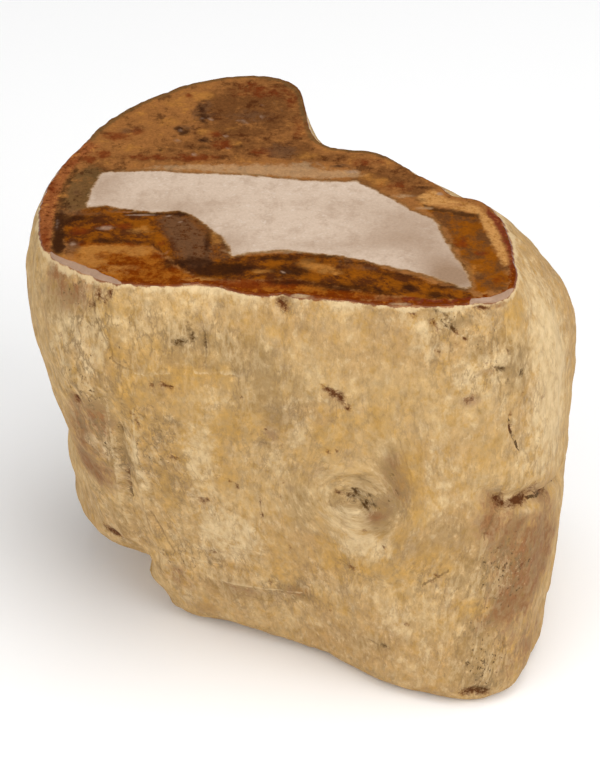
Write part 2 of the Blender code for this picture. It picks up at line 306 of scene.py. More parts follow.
# Stains by their picture places: x, y, half width and half height in pixels, strength. A stain fades
# out past its oval by SPOT_FALLOFF, reaches into the wall by PATCH_DEPTH at least, and is drawn out
# where the wall is seen at a slant, as far as LEAST_FACING allows.
SPOT_FALLOFF = 0.8
PATCH_DEPTH = 18.0
LEAST_FACING = 0.4
OCHRE_STAINS = [
    (125, 395, 10, 25, .8), (130, 410, 8, 14, .5), (235, 425, 20, 14, .6), (215, 445, 18, 20, .4),
    (345, 435, 14, 20, .45), (190, 470, 10, 16, .5), (408, 545, 12, 14, .6), (330, 520, 8, 8, .5),
    (165, 376, 22, 10, .6), (106, 320, 16, 20, .6), (160, 440, 10, 12, .3), (275, 560, 24, 24, .42),
    (440, 480, 12, 24, .42), (190, 430, 70, 60, .34), (390, 412, 22, 22, .45), (375, 420, 25, 10, .5),
    (412, 470, 10, 30, .7), (420, 510, 8, 14, .5), (335, 545, 12, 14, .7), (350, 565, 25, 10, .8),
    (400, 570, 25, 12, .6), (440, 560, 18, 14, .4), (320, 440, 14, 16, .5), (285, 370, 10, 30, .3),
    (150, 350, 14, 10, .4), (110, 340, 12, 18, .5), (165, 490, 8, 20, .4), (185, 470, 6, 30, .3),
    (220, 475, 14, 8, .5), (300, 465, 12, 16, .4), (490, 450, 14, 20, .4), (515, 305, 8, 14, .6),
    (513, 316, 11, 12, .7), (475, 610, 15, 10, .5), (160, 540, 10, 10, .3), (195, 600, 18, 8, .4),
    (330, 600, 30, 12, .3), (200, 380, 30, 12, .3), (270, 330, 12, 8, .4),
]
CREAM_STAINS_AND_PAINTED_LIGHT = [
    # The stains at 205, 288, 340, 305 and 300, 300, with the one at 250, 300, are pale chips under the
    # front rim, partly painted highlight
    (205, 288, 14, 6, 1), (340, 305, 10, 6, .8), (190, 598, 12, 8, .4), (300, 300, 8, 8, .5),
    (95, 335, 10, 20, .5), (125, 330, 14, 14, .3), (200, 455, 14, 30, .7), (196, 470, 8, 18, .3),
    (215, 525, 16, 14, .8), (245, 535, 18, 12, .7), (232, 552, 24, 8, .6), (360, 545, 22, 12, .9),
    (335, 518, 10, 8, .5), (355, 525, 14, 10, .5), (84, 362, 8, 10, .5), (72, 328, 10, 12, .5),
    # The first three on this line, with the one at 556, 400, brighten the right flank where the lamp falls
    # on it: painted light
    (550, 330, 16, 50, .8), (560, 380, 10, 40, .7), (545, 420, 12, 40, .5), (430, 340, 10, 14, .3),
    (470, 380, 14, 20, .5), (440, 320, 8, 8, .3), (395, 620, 14, 16, .4), (190, 300, 12, 14, .2),
    (250, 300, 14, 10, .4), (60, 340, 8, 20, .4), (440, 480, 16, 40, .3), (520, 465, 8, 10, .2),
    (210, 400, 14, 14, .3), (92, 440, 7, 6, .5), (118, 466, 3, 15, .7), (137, 462, 4, 30, .6),
    (107, 450, 2, 10, .6), (502, 361, 5, 5, .7), (482, 358, 5, 5, .6), (420, 325, 8, 6, .6),
    (556, 400, 14, 50, .5), (508, 497, 2.5, 3.5, .9), (530, 508, 5, 3, .4), (300, 424, 10, 7, .5),
    (275, 460, 8, 9, .5), (296, 440, 10, 8, .4),
]
GREY_STAINS_AND_SHADE = [
    (228, 350, 14, 18, .3), (258, 385, 25, 30, .4), (285, 400, 20, 30, .3), (150, 322, 24, 20, .2),
    (480, 350, 16, 8, .4), (512, 364, 18, 14, .7), (520, 377, 12, 12, .5), (440, 310, 14, 6, .6),
    (462, 322, 9, 3, .8), (479, 319, 8, 5, .4), (500, 335, 10, 8, .4), (355, 500, 22, 12, .5),
    # The last two on this line and the first on the next darken the right of the knot's hollow: painted
    # shade
    (362, 480, 9, 4, .7), (362, 489, 9, 5, .7), (380, 508, 10, 9, .8), (375, 520, 9, 8, .7),
    (381, 528, 8, 6, .6), (342, 510, 9, 5, .6), (300, 500, 12, 30, .4), (450, 530, 20, 14, .35),
    (485, 560, 20, 20, .4), (235, 590, 30, 10, .4), (300, 590, 16, 10, .8), (478, 630, 16, 24, .4),
    (485, 680, 18, 12, .6), (462, 582, 12, 12, .5), (470, 665, 16, 20, .4), (500, 600, 14, 16, .6),
    # The stain at 60, 308 darkens the left flank, turned from the main lamp: painted shade
    (355, 640, 20, 10, .3), (380, 645, 10, 6, .5), (60, 308, 16, 16, .5), (125, 450, 4, 22, .8),
    (140, 480, 6, 20, .2), (110, 385, 14, 10, .2), (98, 404, 15, 8, .5), (110, 446, 4, 30, .5),
    (260, 355, 12, 14, .3), (120, 520, 14, 14, .3), (205, 345, 6, 10, .5), (180, 360, 20, 8, .3),
    # The first four on this line darken the low side of the step right of the knot: painted shade
    (390, 464, 14, 18, .5), (398, 490, 12, 24, .7), (386, 512, 12, 12, .3), (412, 470, 8, 26, .4),
    (205, 360, 30, 8, .3), (186, 335, 14, 12, .6), (425, 550, 16, 12, .4), (170, 482, 12, 20, .5),
    (167, 422, 12, 7, .6), (450, 326, 10, 8, .5), (263, 444, 10, 4, .4), (317, 434, 5, 6, .5),
    (172, 345, 16, 8, .5), (262, 375, 24, 16, .3), (100, 318, 14, 20, .4),
]
MAUVE_STAINS_AND_SHADE = [
    # The four on this line darken the left end below the rim, turned from the main lamp: painted shade
    # over the stone's mauve
    (78, 295, 10, 12, .8), (60, 275, 12, 16, .6), (60, 292, 12, 16, .4), (95, 285, 8, 6, .4),
    (98, 418, 14, 11, .7), (84, 455, 9, 14, .8), (95, 470, 16, 10, .9), (82, 430, 8, 16, .6),
    # The last two on this line darken the low side of the step right of the knot: painted shade
    (75, 398, 4, 5, 1), (88, 440, 18, 40, .3), (395, 470, 10, 16, .4), (402, 490, 8, 16, .35),
    (374, 518, 7, 6, .8), (384, 508, 8, 8, .4), (240, 590, 20, 8, .3), (515, 525, 12, 10, .8),
    (530, 535, 10, 10, .6), (530, 558, 12, 14, 1), (535, 580, 14, 16, .7), (505, 545, 10, 14, .5),
    (520, 590, 16, 14, .5), (545, 500, 8, 30, .4), (548, 540, 10, 20, .6), (500, 610, 12, 10, .5),
    (485, 625, 12, 10, .4), (530, 640, 14, 20, .4), (510, 660, 16, 20, .25), (492, 522, 14, 18, .6),
    (520, 612, 16, 20, .4), (300, 592, 12, 6, .5), (470, 400, 8, 5, .7), (532, 560, 18, 28, .8),
    (180, 575, 12, 12, .3), (200, 605, 14, 6, .4), (500, 300, 14, 5, .6), (490, 520, 6, 16, .5),
    (485, 373, 7, 2.5, .6), (272, 436, 8, 5, .3),
]

# Small dark pits by their picture places, in the same terms: each is cut into the stone and stained
PITS = [
    (336, 395, 6, 3.5, 1), (342, 400, 3, 3, .9), (328, 389, 4, 2, .8), (323, 387, 2, 2, .6),
    (348, 408, 3, 3, .9), (163, 385, 4, 2, .9), (170, 388, 4, 2, .8), (151, 386, 3, 1.5, .8),
    (178, 343, 6, 3, .9), (186, 340, 5, 2, .6), (192, 336, 3, 5, .6), (188, 325, 3, 3, .5),
    (205, 342, 2.5, 7, .6), (98, 294, 3, 5, .8), (104, 301, 4, 3, .7), (92, 305, 3, 4, .6),
    (110, 293, 3, 4, .8), (84, 297, 3, 3, .5), (281, 302, 5, 4, .9), (286, 308, 4, 3, .7),
    (127, 473, 2, 3, .9), (129, 484, 1.5, 5, .7), (131, 413, 2, 2, .6), (120, 429, 1.5, 4, .6),
    (137, 422, 1.2, 8, .6), (172, 458, 3, 1.8, .9), (178, 459, 2, 1.5, .7), (202, 500, 4, 2.5, .8),
    (208, 500, 2, 2, .6), (497, 499, 5, 5, 1), (503, 504, 3, 2, .7), (515, 499, 5, 2.6, 1),
    (522, 498, 4.5, 2.8, 1), (514, 506, 8, 1.5, .5), (511, 415, 2, 2.5, .8), (512, 429, 1.5, 5, .8),
    (523, 395, 2, 1.5, .7), (543, 397, 1.5, 2.5, .5), (413, 314, 2.5, 4, .9), (435, 324, 2.5, 2.5, 1),
    (437, 311, 2, 2, .7), (445, 316, 2, 2.5, .7), (451, 319, 1.5, 2.5, .7), (447, 325, 2, 3, .8),
    (453, 328, 2.5, 3, .9), (456, 332, 2.5, 3, .8), (439, 331, 3, 2, .6), (431, 320, 2, 2, .5),
    (465, 339, 2, 2, .8), (437, 351, 2, 1.5, .6), (457, 344, 2, 2, .5), (509, 351, 2, 3, .7),
    (503, 369, 3, 2, .9), (496, 366, 3, 1.5, .8), (499, 371, 2, 1.5, .7), (522, 373, 2, 3.5, .9),
    (509, 380, 1.5, 3, .6), (526, 365, 2, 2, .6), (487, 362, 2, 3, .5), (484, 307, 4, 2.5, .9),
    (116, 533, 5, 3.5, 1), (107, 528, 6, 4, .6), (478, 690, 11, 4.5, 1), (464, 692, 5, 3, .5),
    (339, 492, 4, 1.5, 1), (349, 495, 3, 1.8, 1), (354, 490, 3, 1.8, .9), (357, 493, 2, 2.5, .9),
    (354, 497, 2, 1.5, .9), (365, 494, 2.5, 1.5, .9), (370, 496, 1.8, 2, .9), (367, 503, 2.2, 3, 1),
    (364, 505, 2, 1.5, 1), (368, 509, 2, 2, .7), (375, 506, 2.5, 1.5, .7), (361, 500, 1.5, 2, .6),
    (364, 531, 1.8, 1.5, .9), (392, 476, 1.8, 3, .6), (398, 492, 1.5, 3, .6), (360, 517, 3, 1.5, .5),
    (385, 547, 1.8, 2, .7), (390, 524, 2, 2, .5), (431, 581, 4, 2, .4), (438, 576, 3, 2, .6),
    (329, 452, 3, 2, .6), (337, 451, 2, 2, .5), (468, 401, 5, 2.5, .7), (474, 397, 2.5, 3, .6),
    (478, 308, 5, 2, .7), (490, 303, 3, 3, .5), (544, 489, 3, 4, .7), (353, 568, 4, 2.5, .6),
    (77, 398, 3, 3.5, .9), (213, 552, 3, 2.5, .5), (290, 548, 2, 2, .6), (270, 582, 2, 3, .5),
    (523, 565, 1.5, 3, .9), (510, 567, 2, 2, .5), (515, 575, 2, 1.5, .6), (495, 597, 2, 1.5, .7),
    (503, 645, 1.5, 5, .6), (407, 625, 2.5, 2, .6), (385, 646, 4, 2, .6), (400, 655, 2, 2, .3),
    (500, 548, 2, 2, .5), (487, 535, 3, 2, .5), (60, 336, 2, 3, .5), (330, 610, 2, 2, .4),
    (242, 398, 1.5, 2, .6), (266, 430, 1.8, 1.5, .7), (265, 444, 4, 1.5, .5), (282, 445, 1.5, 2.5, .5),
    (218, 477, 2.5, 1.5, .5), (229, 481, 2, 2, .6), (237, 487, 1.5, 3, .7), (260, 502, 1.2, 4, .6),
    (262, 516, 1.5, 3, .7), (281, 496, 2, 1.5, .6), (284, 483, 1.5, 2, .5), (317, 433, 1.5, 1.5, .5),
]
PIT_DEPTH = 1.3

# The back: the bearings in degrees and the heights that hold its scattered marks, how much taller than
# wide these are, and of each kind the seed, the number, the widths and the strengths
BACK_BEARINGS = (18.0, 168.0)
BACK_HEIGHTS = (15.0, 262.0)
BACK_LENGTHENING = (0.8, 2.4)
BACK_PITS = (11, 26, (1.5, 4.5), (0.4, 1.0))
BACK_SPECKLED = (6, 20, (10.0, 26.0), (0.3, 0.9))
BACK_OCHRE = (2, 34, (8.0, 22.0), (0.25, 0.8))
BACK_CREAM = (3, 34, (8.0, 26.0), (0.25, 0.8))
BACK_GREY = (4, 34, (8.0, 20.0), (0.25, 0.8))
BACK_MAUVE = (5, 34, (5.0, 14.0), (0.25, 0.8))

# Zones of the polished top by their picture places
PALE_CORE = [
    (102, 173), (127, 172), (154, 171), (192, 174), (240, 175), (294, 180), (324, 182), (357, 182),
    (375, 191), (396, 202), (411, 211), (430, 218), (436, 224), (444, 240), (455, 258), (466, 273),
    (471, 286), (466, 289), (455, 284), (440, 279), (425, 274), (410, 270), (395, 267), (380, 264),
    (360, 259), (330, 254), (300, 251), (285, 249), (246, 252), (232, 256), (230, 246), (223, 237),
    (208, 226), (198, 218), (190, 214), (181, 210), (154, 212), (127, 209), (104, 205), (87, 207),
    (92, 190),
]
DARK_LOBE = [
    (62, 226), (72, 216), (83, 210), (95, 206), (105, 204), (118, 205), (130, 208), (150, 210),
    (180, 209), (195, 218), (205, 225), (216, 233), (225, 243), (230, 257), (262, 254), (300, 252),
    (330, 255), (360, 260), (395, 271), (425, 280), (455, 290), (474, 293), (474, 300), (430, 300),
    (375, 294), (330, 286), (300, 280), (262, 280), (230, 281), (205, 279), (190, 274), (178, 266),
    (168, 256), (150, 247), (127, 244), (95, 245), (80, 247), (66, 243), (58, 236),
]
GREY_LOBE = [
    (160, 214), (180, 213), (195, 221), (207, 232), (214, 246), (214, 262), (205, 270), (188, 267),
    (178, 256), (172, 242), (162, 228),
]
OCHRE_CRESCENT = [
    (183, 209), (197, 218), (207, 225), (218, 233), (227, 243), (231, 257), (222, 263), (216, 251),
    (209, 239), (198, 228), (186, 216),
]
AGATE_POOL = [
    (72, 247), (80, 243), (95, 243), (127, 243), (150, 247), (164, 256), (175, 266), (190, 274),
    (205, 280), (230, 283), (262, 281), (290, 278), (310, 284), (345, 289), (375, 292), (375, 300),
    (345, 301), (300, 298), (262, 295), (225, 291), (190, 288), (160, 286), (125, 285), (110, 279),
    (95, 272), (76, 262),
]
BLACK_BAND = [
    (178, 262), (195, 266), (212, 262), (228, 262), (240, 262), (250, 265), (244, 272), (226, 277),
    (204, 277), (186, 271),
]
RIGHT_END = [
    (425, 206), (440, 209), (458, 214), (478, 214), (486, 226), (494, 246), (503, 264), (511, 280),
    (508, 289), (474, 293), (475, 284), (471, 271), (461, 256), (450, 237), (441, 221), (430, 214),
]
LEFT_BARK = [
    (43, 262), (38, 248), (36, 225), (40, 203), (48, 182), (60, 164), (76, 150), (90, 140), (98, 146),
    (84, 158), (74, 168), (65, 180), (60, 194), (56, 210), (54, 226), (52, 244), (50, 256),
]
LEFT_SEAM = [
    (51, 250), (53, 228), (56, 210), (60, 195), (66, 180), (76, 167), (79, 170), (70, 183), (65, 197),
    (63, 210), (64, 222), (64, 236), (63, 250), (57, 254),
]
RIGHT_SEAM = [
    (423, 204), (436, 207), (452, 210), (466, 213), (480, 215), (478, 218), (464, 216), (450, 213),
    (434, 211), (424, 207),
]
LEFT_OLIVE = [
    (78, 171), (92, 166), (104, 171), (95, 190), (89, 207), (84, 210), (64, 214), (62, 206), (66, 190),
    (70, 181),
]
RIGHT_TAN = [
    (478, 212), (486, 213), (494, 222), (501, 235), (506, 250), (509, 264), (504, 266), (498, 254),
    (491, 241), (484, 228),
]
UPPER_TAN = [
    (416, 199), (424, 194), (434, 190), (440, 194), (446, 199), (458, 201), (470, 203), (479, 207),
    (484, 212), (478, 214), (466, 211), (452, 208), (440, 206), (427, 205),
]
RIGHT_RED = [
    (488, 208), (500, 218), (508, 231), (514, 250), (518, 268), (519, 284), (512, 287), (511, 270),
    (508, 254), (502, 239), (495, 224), (486, 213),
]
FRONT_RED = [
    (404, 296), (425, 299), (450, 300), (474, 297), (474, 308), (440, 308), (404, 305),
]

# Spots of the polished top, in the same terms as the stains. The core shade darkens the pale core, and
# the chips are pale places on the front rim, partly painted highlight.
SPOT_PALE_FRINGE = [
    (262, 170, 44, 5, 1.1), (190, 168, 40, 3, .7), (308, 174, 26, 4, .8), (340, 175, 16, 3, .7),
    (352, 173, 8, 3, .9), (305, 165, 12, 5, .5), (400, 196, 12, 2, .6), (425, 208, 10, 1.5, .6),
    (265, 251, 34, 2, .8), (240, 253, 10, 2, .7), (320, 252, 24, 1.5, .6),
]
SPOT_CORE_SHADE = [
    (456, 279, 24, 12, 1.3), (440, 262, 28, 16, .85), (404, 238, 42, 12, .75), (102, 188, 16, 16, .6),
    (120, 178, 18, 6, .3), (410, 218, 40, 12, .6), (228, 241, 20, 12, .55), (190, 214, 20, 6, .4),
    (350, 205, 30, 8, .3), (330, 245, 50, 6, .4), (170, 205, 44, 9, .45),
]
SPOT_BROWN = [
    (385, 178, 36, 12, .75), (420, 192, 14, 8, .6), (452, 290, 20, 6, .8), (200, 276, 30, 10, .8),
    (270, 98, 40, 20, .65), (262, 122, 36, 14, .6), (232, 104, 16, 16, .6), (240, 150, 30, 8, .45),
    (165, 158, 60, 5, .6), (330, 158, 40, 5, .5), (100, 172, 14, 10, .7), (302, 150, 12, 14, .5),
    (228, 132, 30, 12, .65), (182, 146, 26, 7, .5), (212, 106, 12, 10, .6), (280, 148, 24, 8, .45),
]
SPOT_RED = [
    (189, 96, 3, 2.5, 1), (118, 136, 12, 5, .8), (262, 92, 26, 6, .6), (90, 159, 5, 4, 1.1),
    (103, 154, 5, 4, 1.1), (137, 130, 7, 4, .6), (292, 102, 6, 8, .6), (250, 84, 12, 3, .4),
    (214, 134, 8, 3, .8), (222, 145, 9, 5, .8), (196, 158, 18, 4, .8), (150, 157, 22, 3, .7),
    (265, 152, 14, 4, .7), (104, 226, 10, 2, .5), (80, 231, 8, 4, .9), (126, 226, 8, 3, .8),
    (160, 244, 8, 4, .4), (245, 284, 50, 5, .85), (330, 297, 50, 3, .6), (385, 301, 22, 3, .8),
    (461, 242, 5, 5, 1), (481, 253, 8, 2, .8), (355, 190, 10, 6, .4), (395, 186, 20, 5, .5),
    (365, 162, 20, 4, .5), (458, 205, 20, 2, .5), (44, 240, 4, 12, .8), (52, 190, 3, 14, .6),
    (70, 162, 8, 4, .6), (500, 280, 6, 5, .6), (300, 128, 8, 10, .5), (165, 262, 5, 4, .5),
]
SPOT_OCHRE = [
    (203, 96, 9, 4, .9), (178, 102, 14, 6, .5), (170, 122, 16, 6, .45), (206, 132, 8, 3, .8),
    (130, 148, 16, 4, .4), (104, 249, 26, 3.5, .9), (88, 260, 14, 9, .8), (140, 252, 14, 5, .7),
    (306, 263, 9, 5, .7), (322, 268, 12, 5, .7), (336, 272, 6, 3, .5), (380, 183, 9, 5, .8),
    (366, 176, 8, 4, .5), (228, 128, 10, 3, .4), (305, 156, 16, 5, .5), (262, 271, 10, 2.5, .6),
    (200, 280, 16, 2.5, .9), (142, 230, 12, 5, .5), (215, 238, 6, 8, .7), (470, 270, 10, 12, .4),
    (60, 255, 4, 3, .7), (236, 143, 6, 3, .5), (120, 270, 20, 6, .4),
]
SPOT_CHIPS_AND_HIGHLIGHTS = [
    (204, 288, 16, 2.5, 1.1), (190, 286, 10, 2, .8), (300, 297, 9, 2.2, 1.0), (322, 301, 9, 1.5, .7),
    (340, 303, 8, 1.5, .6), (400, 304, 9, 1.5, .6),
]
SPOT_GREY = [
    (202, 114, 9, 8, .8), (184, 128, 9, 4, .7), (250, 116, 22, 6, .7), (280, 150, 14, 6, .95),
    (287, 155, 12, 3, .8), (340, 166, 7, 2, 1), (126, 131, 6, 3, .8), (72, 247, 6, 6, 1.1),
    (206, 104, 6, 6, .5), (120, 211, 16, 1.5, .5), (286, 272, 5, 2, 1), (68, 210, 10, 5, .5),
    (306, 166, 16, 3, .7), (345, 262, 16, 4, .5), (365, 268, 16, 4, .4), (78, 190, 6, 10, .4),
    (205, 140, 6, 2.5, .7), (140, 128, 12, 2, .4), (160, 166, 18, 2, .4), (88, 214, 16, 3, .6),
]
SPOT_DARK = [
    (203, 118, 5, 6, .9), (200, 108, 4, 5, .7), (184, 132, 6, 3.5, 1), (178, 128, 3, 3, .7),
    (205, 140, 5, 2, 1), (160, 149, 2.5, 2.5, .9), (58, 240, 4, 12, 1), (58, 222, 4, 10, .6),
    (80, 218, 16, 3, .8), (110, 241, 16, 3, .7), (150, 214, 24, 1.8, .9), (182, 214, 8, 3, .8),
    (208, 242, 4, 10, .8), (195, 262, 18, 5, .9), (240, 268, 26, 3.5, .55), (278, 258, 28, 2.5, .8),
    (318, 262, 18, 2, .5), (408, 287, 6, 4, 1), (435, 295, 6, 3, 1.1), (346, 288, 24, 3, .9),
    (310, 284, 30, 3, .4), (380, 292, 20, 3, .5), (290, 270, 16, 6, .6), (282, 281, 24, 3, .6),
    (66, 221, 8, 8, .6), (168, 263, 7, 7, .55), (330, 256, 20, 1.6, .7), (360, 263, 20, 1.6, .6),
    (398, 275, 26, 2, .6), (445, 287, 18, 2, .6), (423, 187, 7, 2, .7), (339, 166, 4, 1, .8),
    (200, 148, 10, 2, .5), (107, 177, 2.5, 2, .5), (300, 272, 12, 3, .5), (185, 205, 30, 1.5, .4),
    (420, 200, 6, 2, .6), (240, 146, 8, 2, .5), (475, 225, 6, 10, .3), (61, 247, 4, 8, .8),
]
# Painted highlights on the polished top: glints beside the pits of the back lobe, thin streaks of sheen,
# and pale glints along dark edges
SPOT_PAINTED_GLINTS = [
    (178, 141, 3, 1.5, .8), (195, 155, 3, 1.5, .8), (226, 136, 1.5, 1, .9), (106, 228, 7, 2, .9),
    (203, 119, 3, 1, .9), (181, 131, 2, 1, .8), (228, 148, 1.5, 1.5, .8), (210, 119, 3, 1, .7),
    (240, 120, 5, 1, .7), (252, 119, 4, 1, .6), (262, 117, 3, 1, .6), (246, 124, 3, 1, .6),
    (352, 172, 6, 1.5, .7), (266, 104, 9, .8, .6), (280, 110, 4, .8, .7), (142, 215, 14, .8, .8),
    (126, 212, 8, .8, .6), (170, 216, 3, 1, .7), (180, 222, 2, 1, .6), (167, 252, 2, 1.5, .6),
    (283, 272, 3, 1, .6), (440, 194, 3, 1.5, 1), (73, 244, 2, 3, .6), (56, 226, 1.5, 8, .5),
]

# Stone colours as they look in the studio's light, each as red, green and blue out of 255
BUFF = (202, 166, 112)
TAN = (190, 152, 99)
PALE_BUFF = (213, 181, 131)
OCHRE = (190, 146, 74)
CREAM = (226, 198, 152)
GREY_BROWN = (143, 116, 78)
MAUVE = (140, 96, 58)
UMBER = (92, 46, 4)
BARK_RED = (112, 58, 22)
PALE_SILICA = (216, 192, 170)
SILICA_SHADE = (164, 134, 108)
SILICA_LIGHT = (230, 211, 192)
FRINGE = (192, 154, 112)
LOBE_ORANGE = (156, 101, 52)
LOBE_BROWN = (108, 66, 32)
LOBE_OCHRE = (182, 122, 56)
IRON_RED = (114, 44, 10)
DARK_WOOD = (84, 42, 14)
PURPLE_GREY = (106, 72, 46)
LILAC_GREY = (134, 108, 92)
AGATE_ORANGE = (160, 92, 24)
AGATE_DEEP = (116, 48, 0)
NEAR_BLACK = (54, 26, 8)
END_BROWN = (142, 78, 10)
TAN_BAND = (204, 148, 84)
BARK_ORANGE = (152, 88, 46)
OLIVE_RIM = (106, 78, 44)
EDGE_STRIP_PINK = (168, 136, 112)
LILAC_BUFF = (178, 147, 106)
SPECK_BROWN = (92, 66, 36)
SPECK_OLIVE = (80, 50, 6)
DEEP_RED = (112, 40, 24)
SEAM_BROWN = (70, 42, 18)

# Distances kept where a zone, the rim or an edge strip is out of reach, in millimetres, and the step in
# points of the rim that distances from it are measured to
FAR_AWAY = 99.0
OFF_STRIP = -2.0
RIM_SKIP = 4

# How matt each finish is, from its smoothest to its roughest places, how strongly it mirrors, and how
# strongly its fine unevenness shows
RIND_ROUGHNESS = (0.75, 0.98)
RIND_MIRRORING = 0.20
RIND_BUMP = 0.9
TOP_ROUGHNESS = (0.12, 0.26)
TOP_MIRRORING = 0.14
TOP_BUMP = 0.6

# The noises of the rind: size in millimetres, detail and roughness. All but the broad one are drawn out
# along the grain, more where the stretch is smaller.
RIND_BROAD = (60.0, 3.0, 0.55)
RIND_PATCHES = (15.0, 5.0, 0.68)
RIND_WARMTH = (6.0, 4.0, 0.70)
RIND_MOTTLE = (5.0, 3.0, 0.66)
RIND_FINE = (1.8, 2.0, 0.60)
RIND_WAVES = (8.0, 4.0, 0.62)
GRAIN_STRETCH = (1.0, 1.0, 0.72)
FINE_STRETCH = (1.0, 1.0, 0.60)
WAVE_STRETCH = (1.0, 1.0, 0.34)
PIT_NOISE = (1.8, 3.0, 0.70)

# The noises of the polished top, in the same terms
TOP_VEINS = (9.0, 6.0, 0.72)
TOP_FLECKS = (3.4, 4.0, 0.72)
TOP_TEAR = (5.5, 5.0, 0.68)
TOP_GRAIN = (1.5, 2.0, 0.60)
TOP_BANDS = (1.0, 5.0, 0.68)
TOP_BUMPS = (3.0, 3.0, 0.50)
VEIN_STRETCH = (0.85, 0.70, 1.0)
BAND_STRETCH = (0.10, 1.0 / 9.0, 1.6)

# A stain or spot starts to show at the first strength and is whole at the second. Its edge is the
# strength where it starts, how far a noise tears it, and its softness.
STAIN_SHOWS = (0.02, 0.22)
STAIN_EDGE = (0.36, 1.25, 0.60)
PIT_SHOWS = (0.03, 0.25)
PIT_TORN = 0.95
PIT_SOFTNESS = 0.22
SPOT_SHOWS = (0.03, 0.30)
SPOT_START = 0.42
SPOT_SOFTNESS = 0.40

# Bands along the sawn rim, in millimetres: where they end, with a minus, their tear and softness
# The pale chip band is partly a painted highlight along the rim's edge
PALE_CHIP_HIGHLIGHT_BAND = (-2.2, 9.0, 1.2)
RED_RIM_LINE = (-0.5, 2.2, 0.4)
RED_RIM_BAND = (-0.9, 2.0, 0.6)
FRONT_GLOW_BAND = (-3.0, 9.0, 1.0)
FRONT_GLOW_FROM = (-50.0, -70.0)
OLIVE_BACK_EDGE = (0.0, 2.4, 1.2)
OLIVE_BACK_FROM = (30.0, 70.0)
OLIVE_BACK_WIDTH = 3.4

# Where a noise turns a zone of the top from its dark stone to its middle one, and on to its light one
DARK_TO_MIDDLE = (0.36, 0.48)
MIDDLE_TO_LIGHT = (0.54, 0.70)

# A coloured crack wanders by a noise, shows where its nearness passes the first share, and breaks off
# where the mottling is low
CRACK_WANDER = 3.0
CRACK_EDGE = (-0.15, 0.25)
CRACK_SHOWS = (0.30, 0.60)
CRACK_BREAKS = (0.38, 0.54)

# A grain of grit shows where its noise passes the start, which falls where grains crowd
GRIT_START = 0.78
GRIT_CROWDING = 0.28
GRIT_EDGE = 0.10
RIND_GRIT_SIZE = 2.3
DUST_SIZE = 1.3
DUST_CROWDING = 0.25

# The studio throws this much light on the stone, so its finishes are that much darker than they look
STUDIO_LIGHT = 1.24

# The glow of the room, and of the dark screen behind the block with the direction it stands in
ROOM_GLOW = 0.80
SCREEN_GLOW = 0.05
SCREEN_DIRECTION = (0.0, 0.83, 0.56)
SCREEN_EDGE = (0.92, 0.50)

# The lamps, in metres: place, width of the disk and power in watts, all aimed at the block's middle
LAMPS = [
    ("front_right_lamp", (1.35, -1.4, 1.8), 2.0, 28.0),
    ("left_lamp", (-1.5, -1.6, 1.0), 1.6, 9.0),
    ("overhead_lamp", (0.2, -0.1, 2.3), 1.4, 18.0),
]
LAMP_AIM = (0.0, 0.0, 0.14)

FLOOR_REACH = 30.0
FLOOR_WHITE = (250, 250, 250)
FLOOR_ROUGHNESS = 0.9


def linear(colour):
    """A colour out of 255 as shares of light, ready for a colour socket."""
    shares = np.array(colour, float) / 255.0
    shares = np.where(shares <= 0.04045, shares / 12.92, ((shares + 0.055) / 1.055) ** 2.4)
    return (*shares.tolist(), 1.0)


def stone_colour(look):
    """The colour of the stone that gives this look in the studio's light."""
    return (*[share / STUDIO_LIGHT for share in linear(look)[:3]], 1.0)


def smooth_step(low, high, value):
    """0 below low, 1 above high, and a smooth rise between them."""
    share = np.clip((value - low) / (high - low), 0.0, 1.0)
    return share * share * (3.0 - 2.0 * share)


def unit(vector):
    return vector / np.linalg.norm(vector)


def axis_point(height):
    """The point on the leaning axis at a height, as an array with x and y last."""
    share = ((HEIGHT - height) / HEIGHT)[..., None]
    return np.array(TOP_CENTRE) * (1.0 - share) + np.array(FOOT_CENTRE) * share


def polar_outline(outline, height):
    """Bearings and radii of an outline's points about the axis, in order of bearing."""
    offsets = np.array(outline, float) - axis_point(np.array(height))
    bearings = np.mod(np.arctan2(offsets[:, 1], offsets[:, 0]), math.tau)
    order = np.argsort(bearings)
    return bearings[order], np.hypot(offsets[:, 0], offsets[:, 1])[order]


def radius_on(curve, bearing):
    """The radius at a bearing on the smooth closed curve through an outline's points."""
    knots, radii = curve
    knots = np.concatenate([knots[-2:] - math.tau, knots, knots[:2] + math.tau])
    radii = np.concatenate([radii[-2:], radii, radii[:2]])
    slopes = np.zeros_like(radii)
    slopes[1:-1] = (radii[2:] - radii[:-2]) / (knots[2:] - knots[:-2])
    bearing = np.mod(bearing, math.tau)
    left = np.clip(np.searchsorted(knots, bearing, side="right") - 1, 1, len(knots) - 3)
    gap = knots[left + 1] - knots[left]
    t = (bearing - knots[left]) / gap
    return (
        (2 * t**3 - 3 * t**2 + 1) * radii[left]
        + (t**3 - 2 * t**2 + t) * gap * slopes[left]
        + (3 * t**2 - 2 * t**3) * radii[left + 1]
        + (t**3 - t**2) * gap * slopes[left + 1]
    )


def softened_radius(curve, bearing):
    """The same curve with its small bends averaged out."""
    steps = np.linspace(-2.0, 2.0, 9)
    weights = np.exp(-0.5 * steps**2)
    shifted = [w * radius_on(curve, bearing + s * RIM_SOFTENING) for s, w in zip(steps, weights)]
    return sum(shifted) / weights.sum()


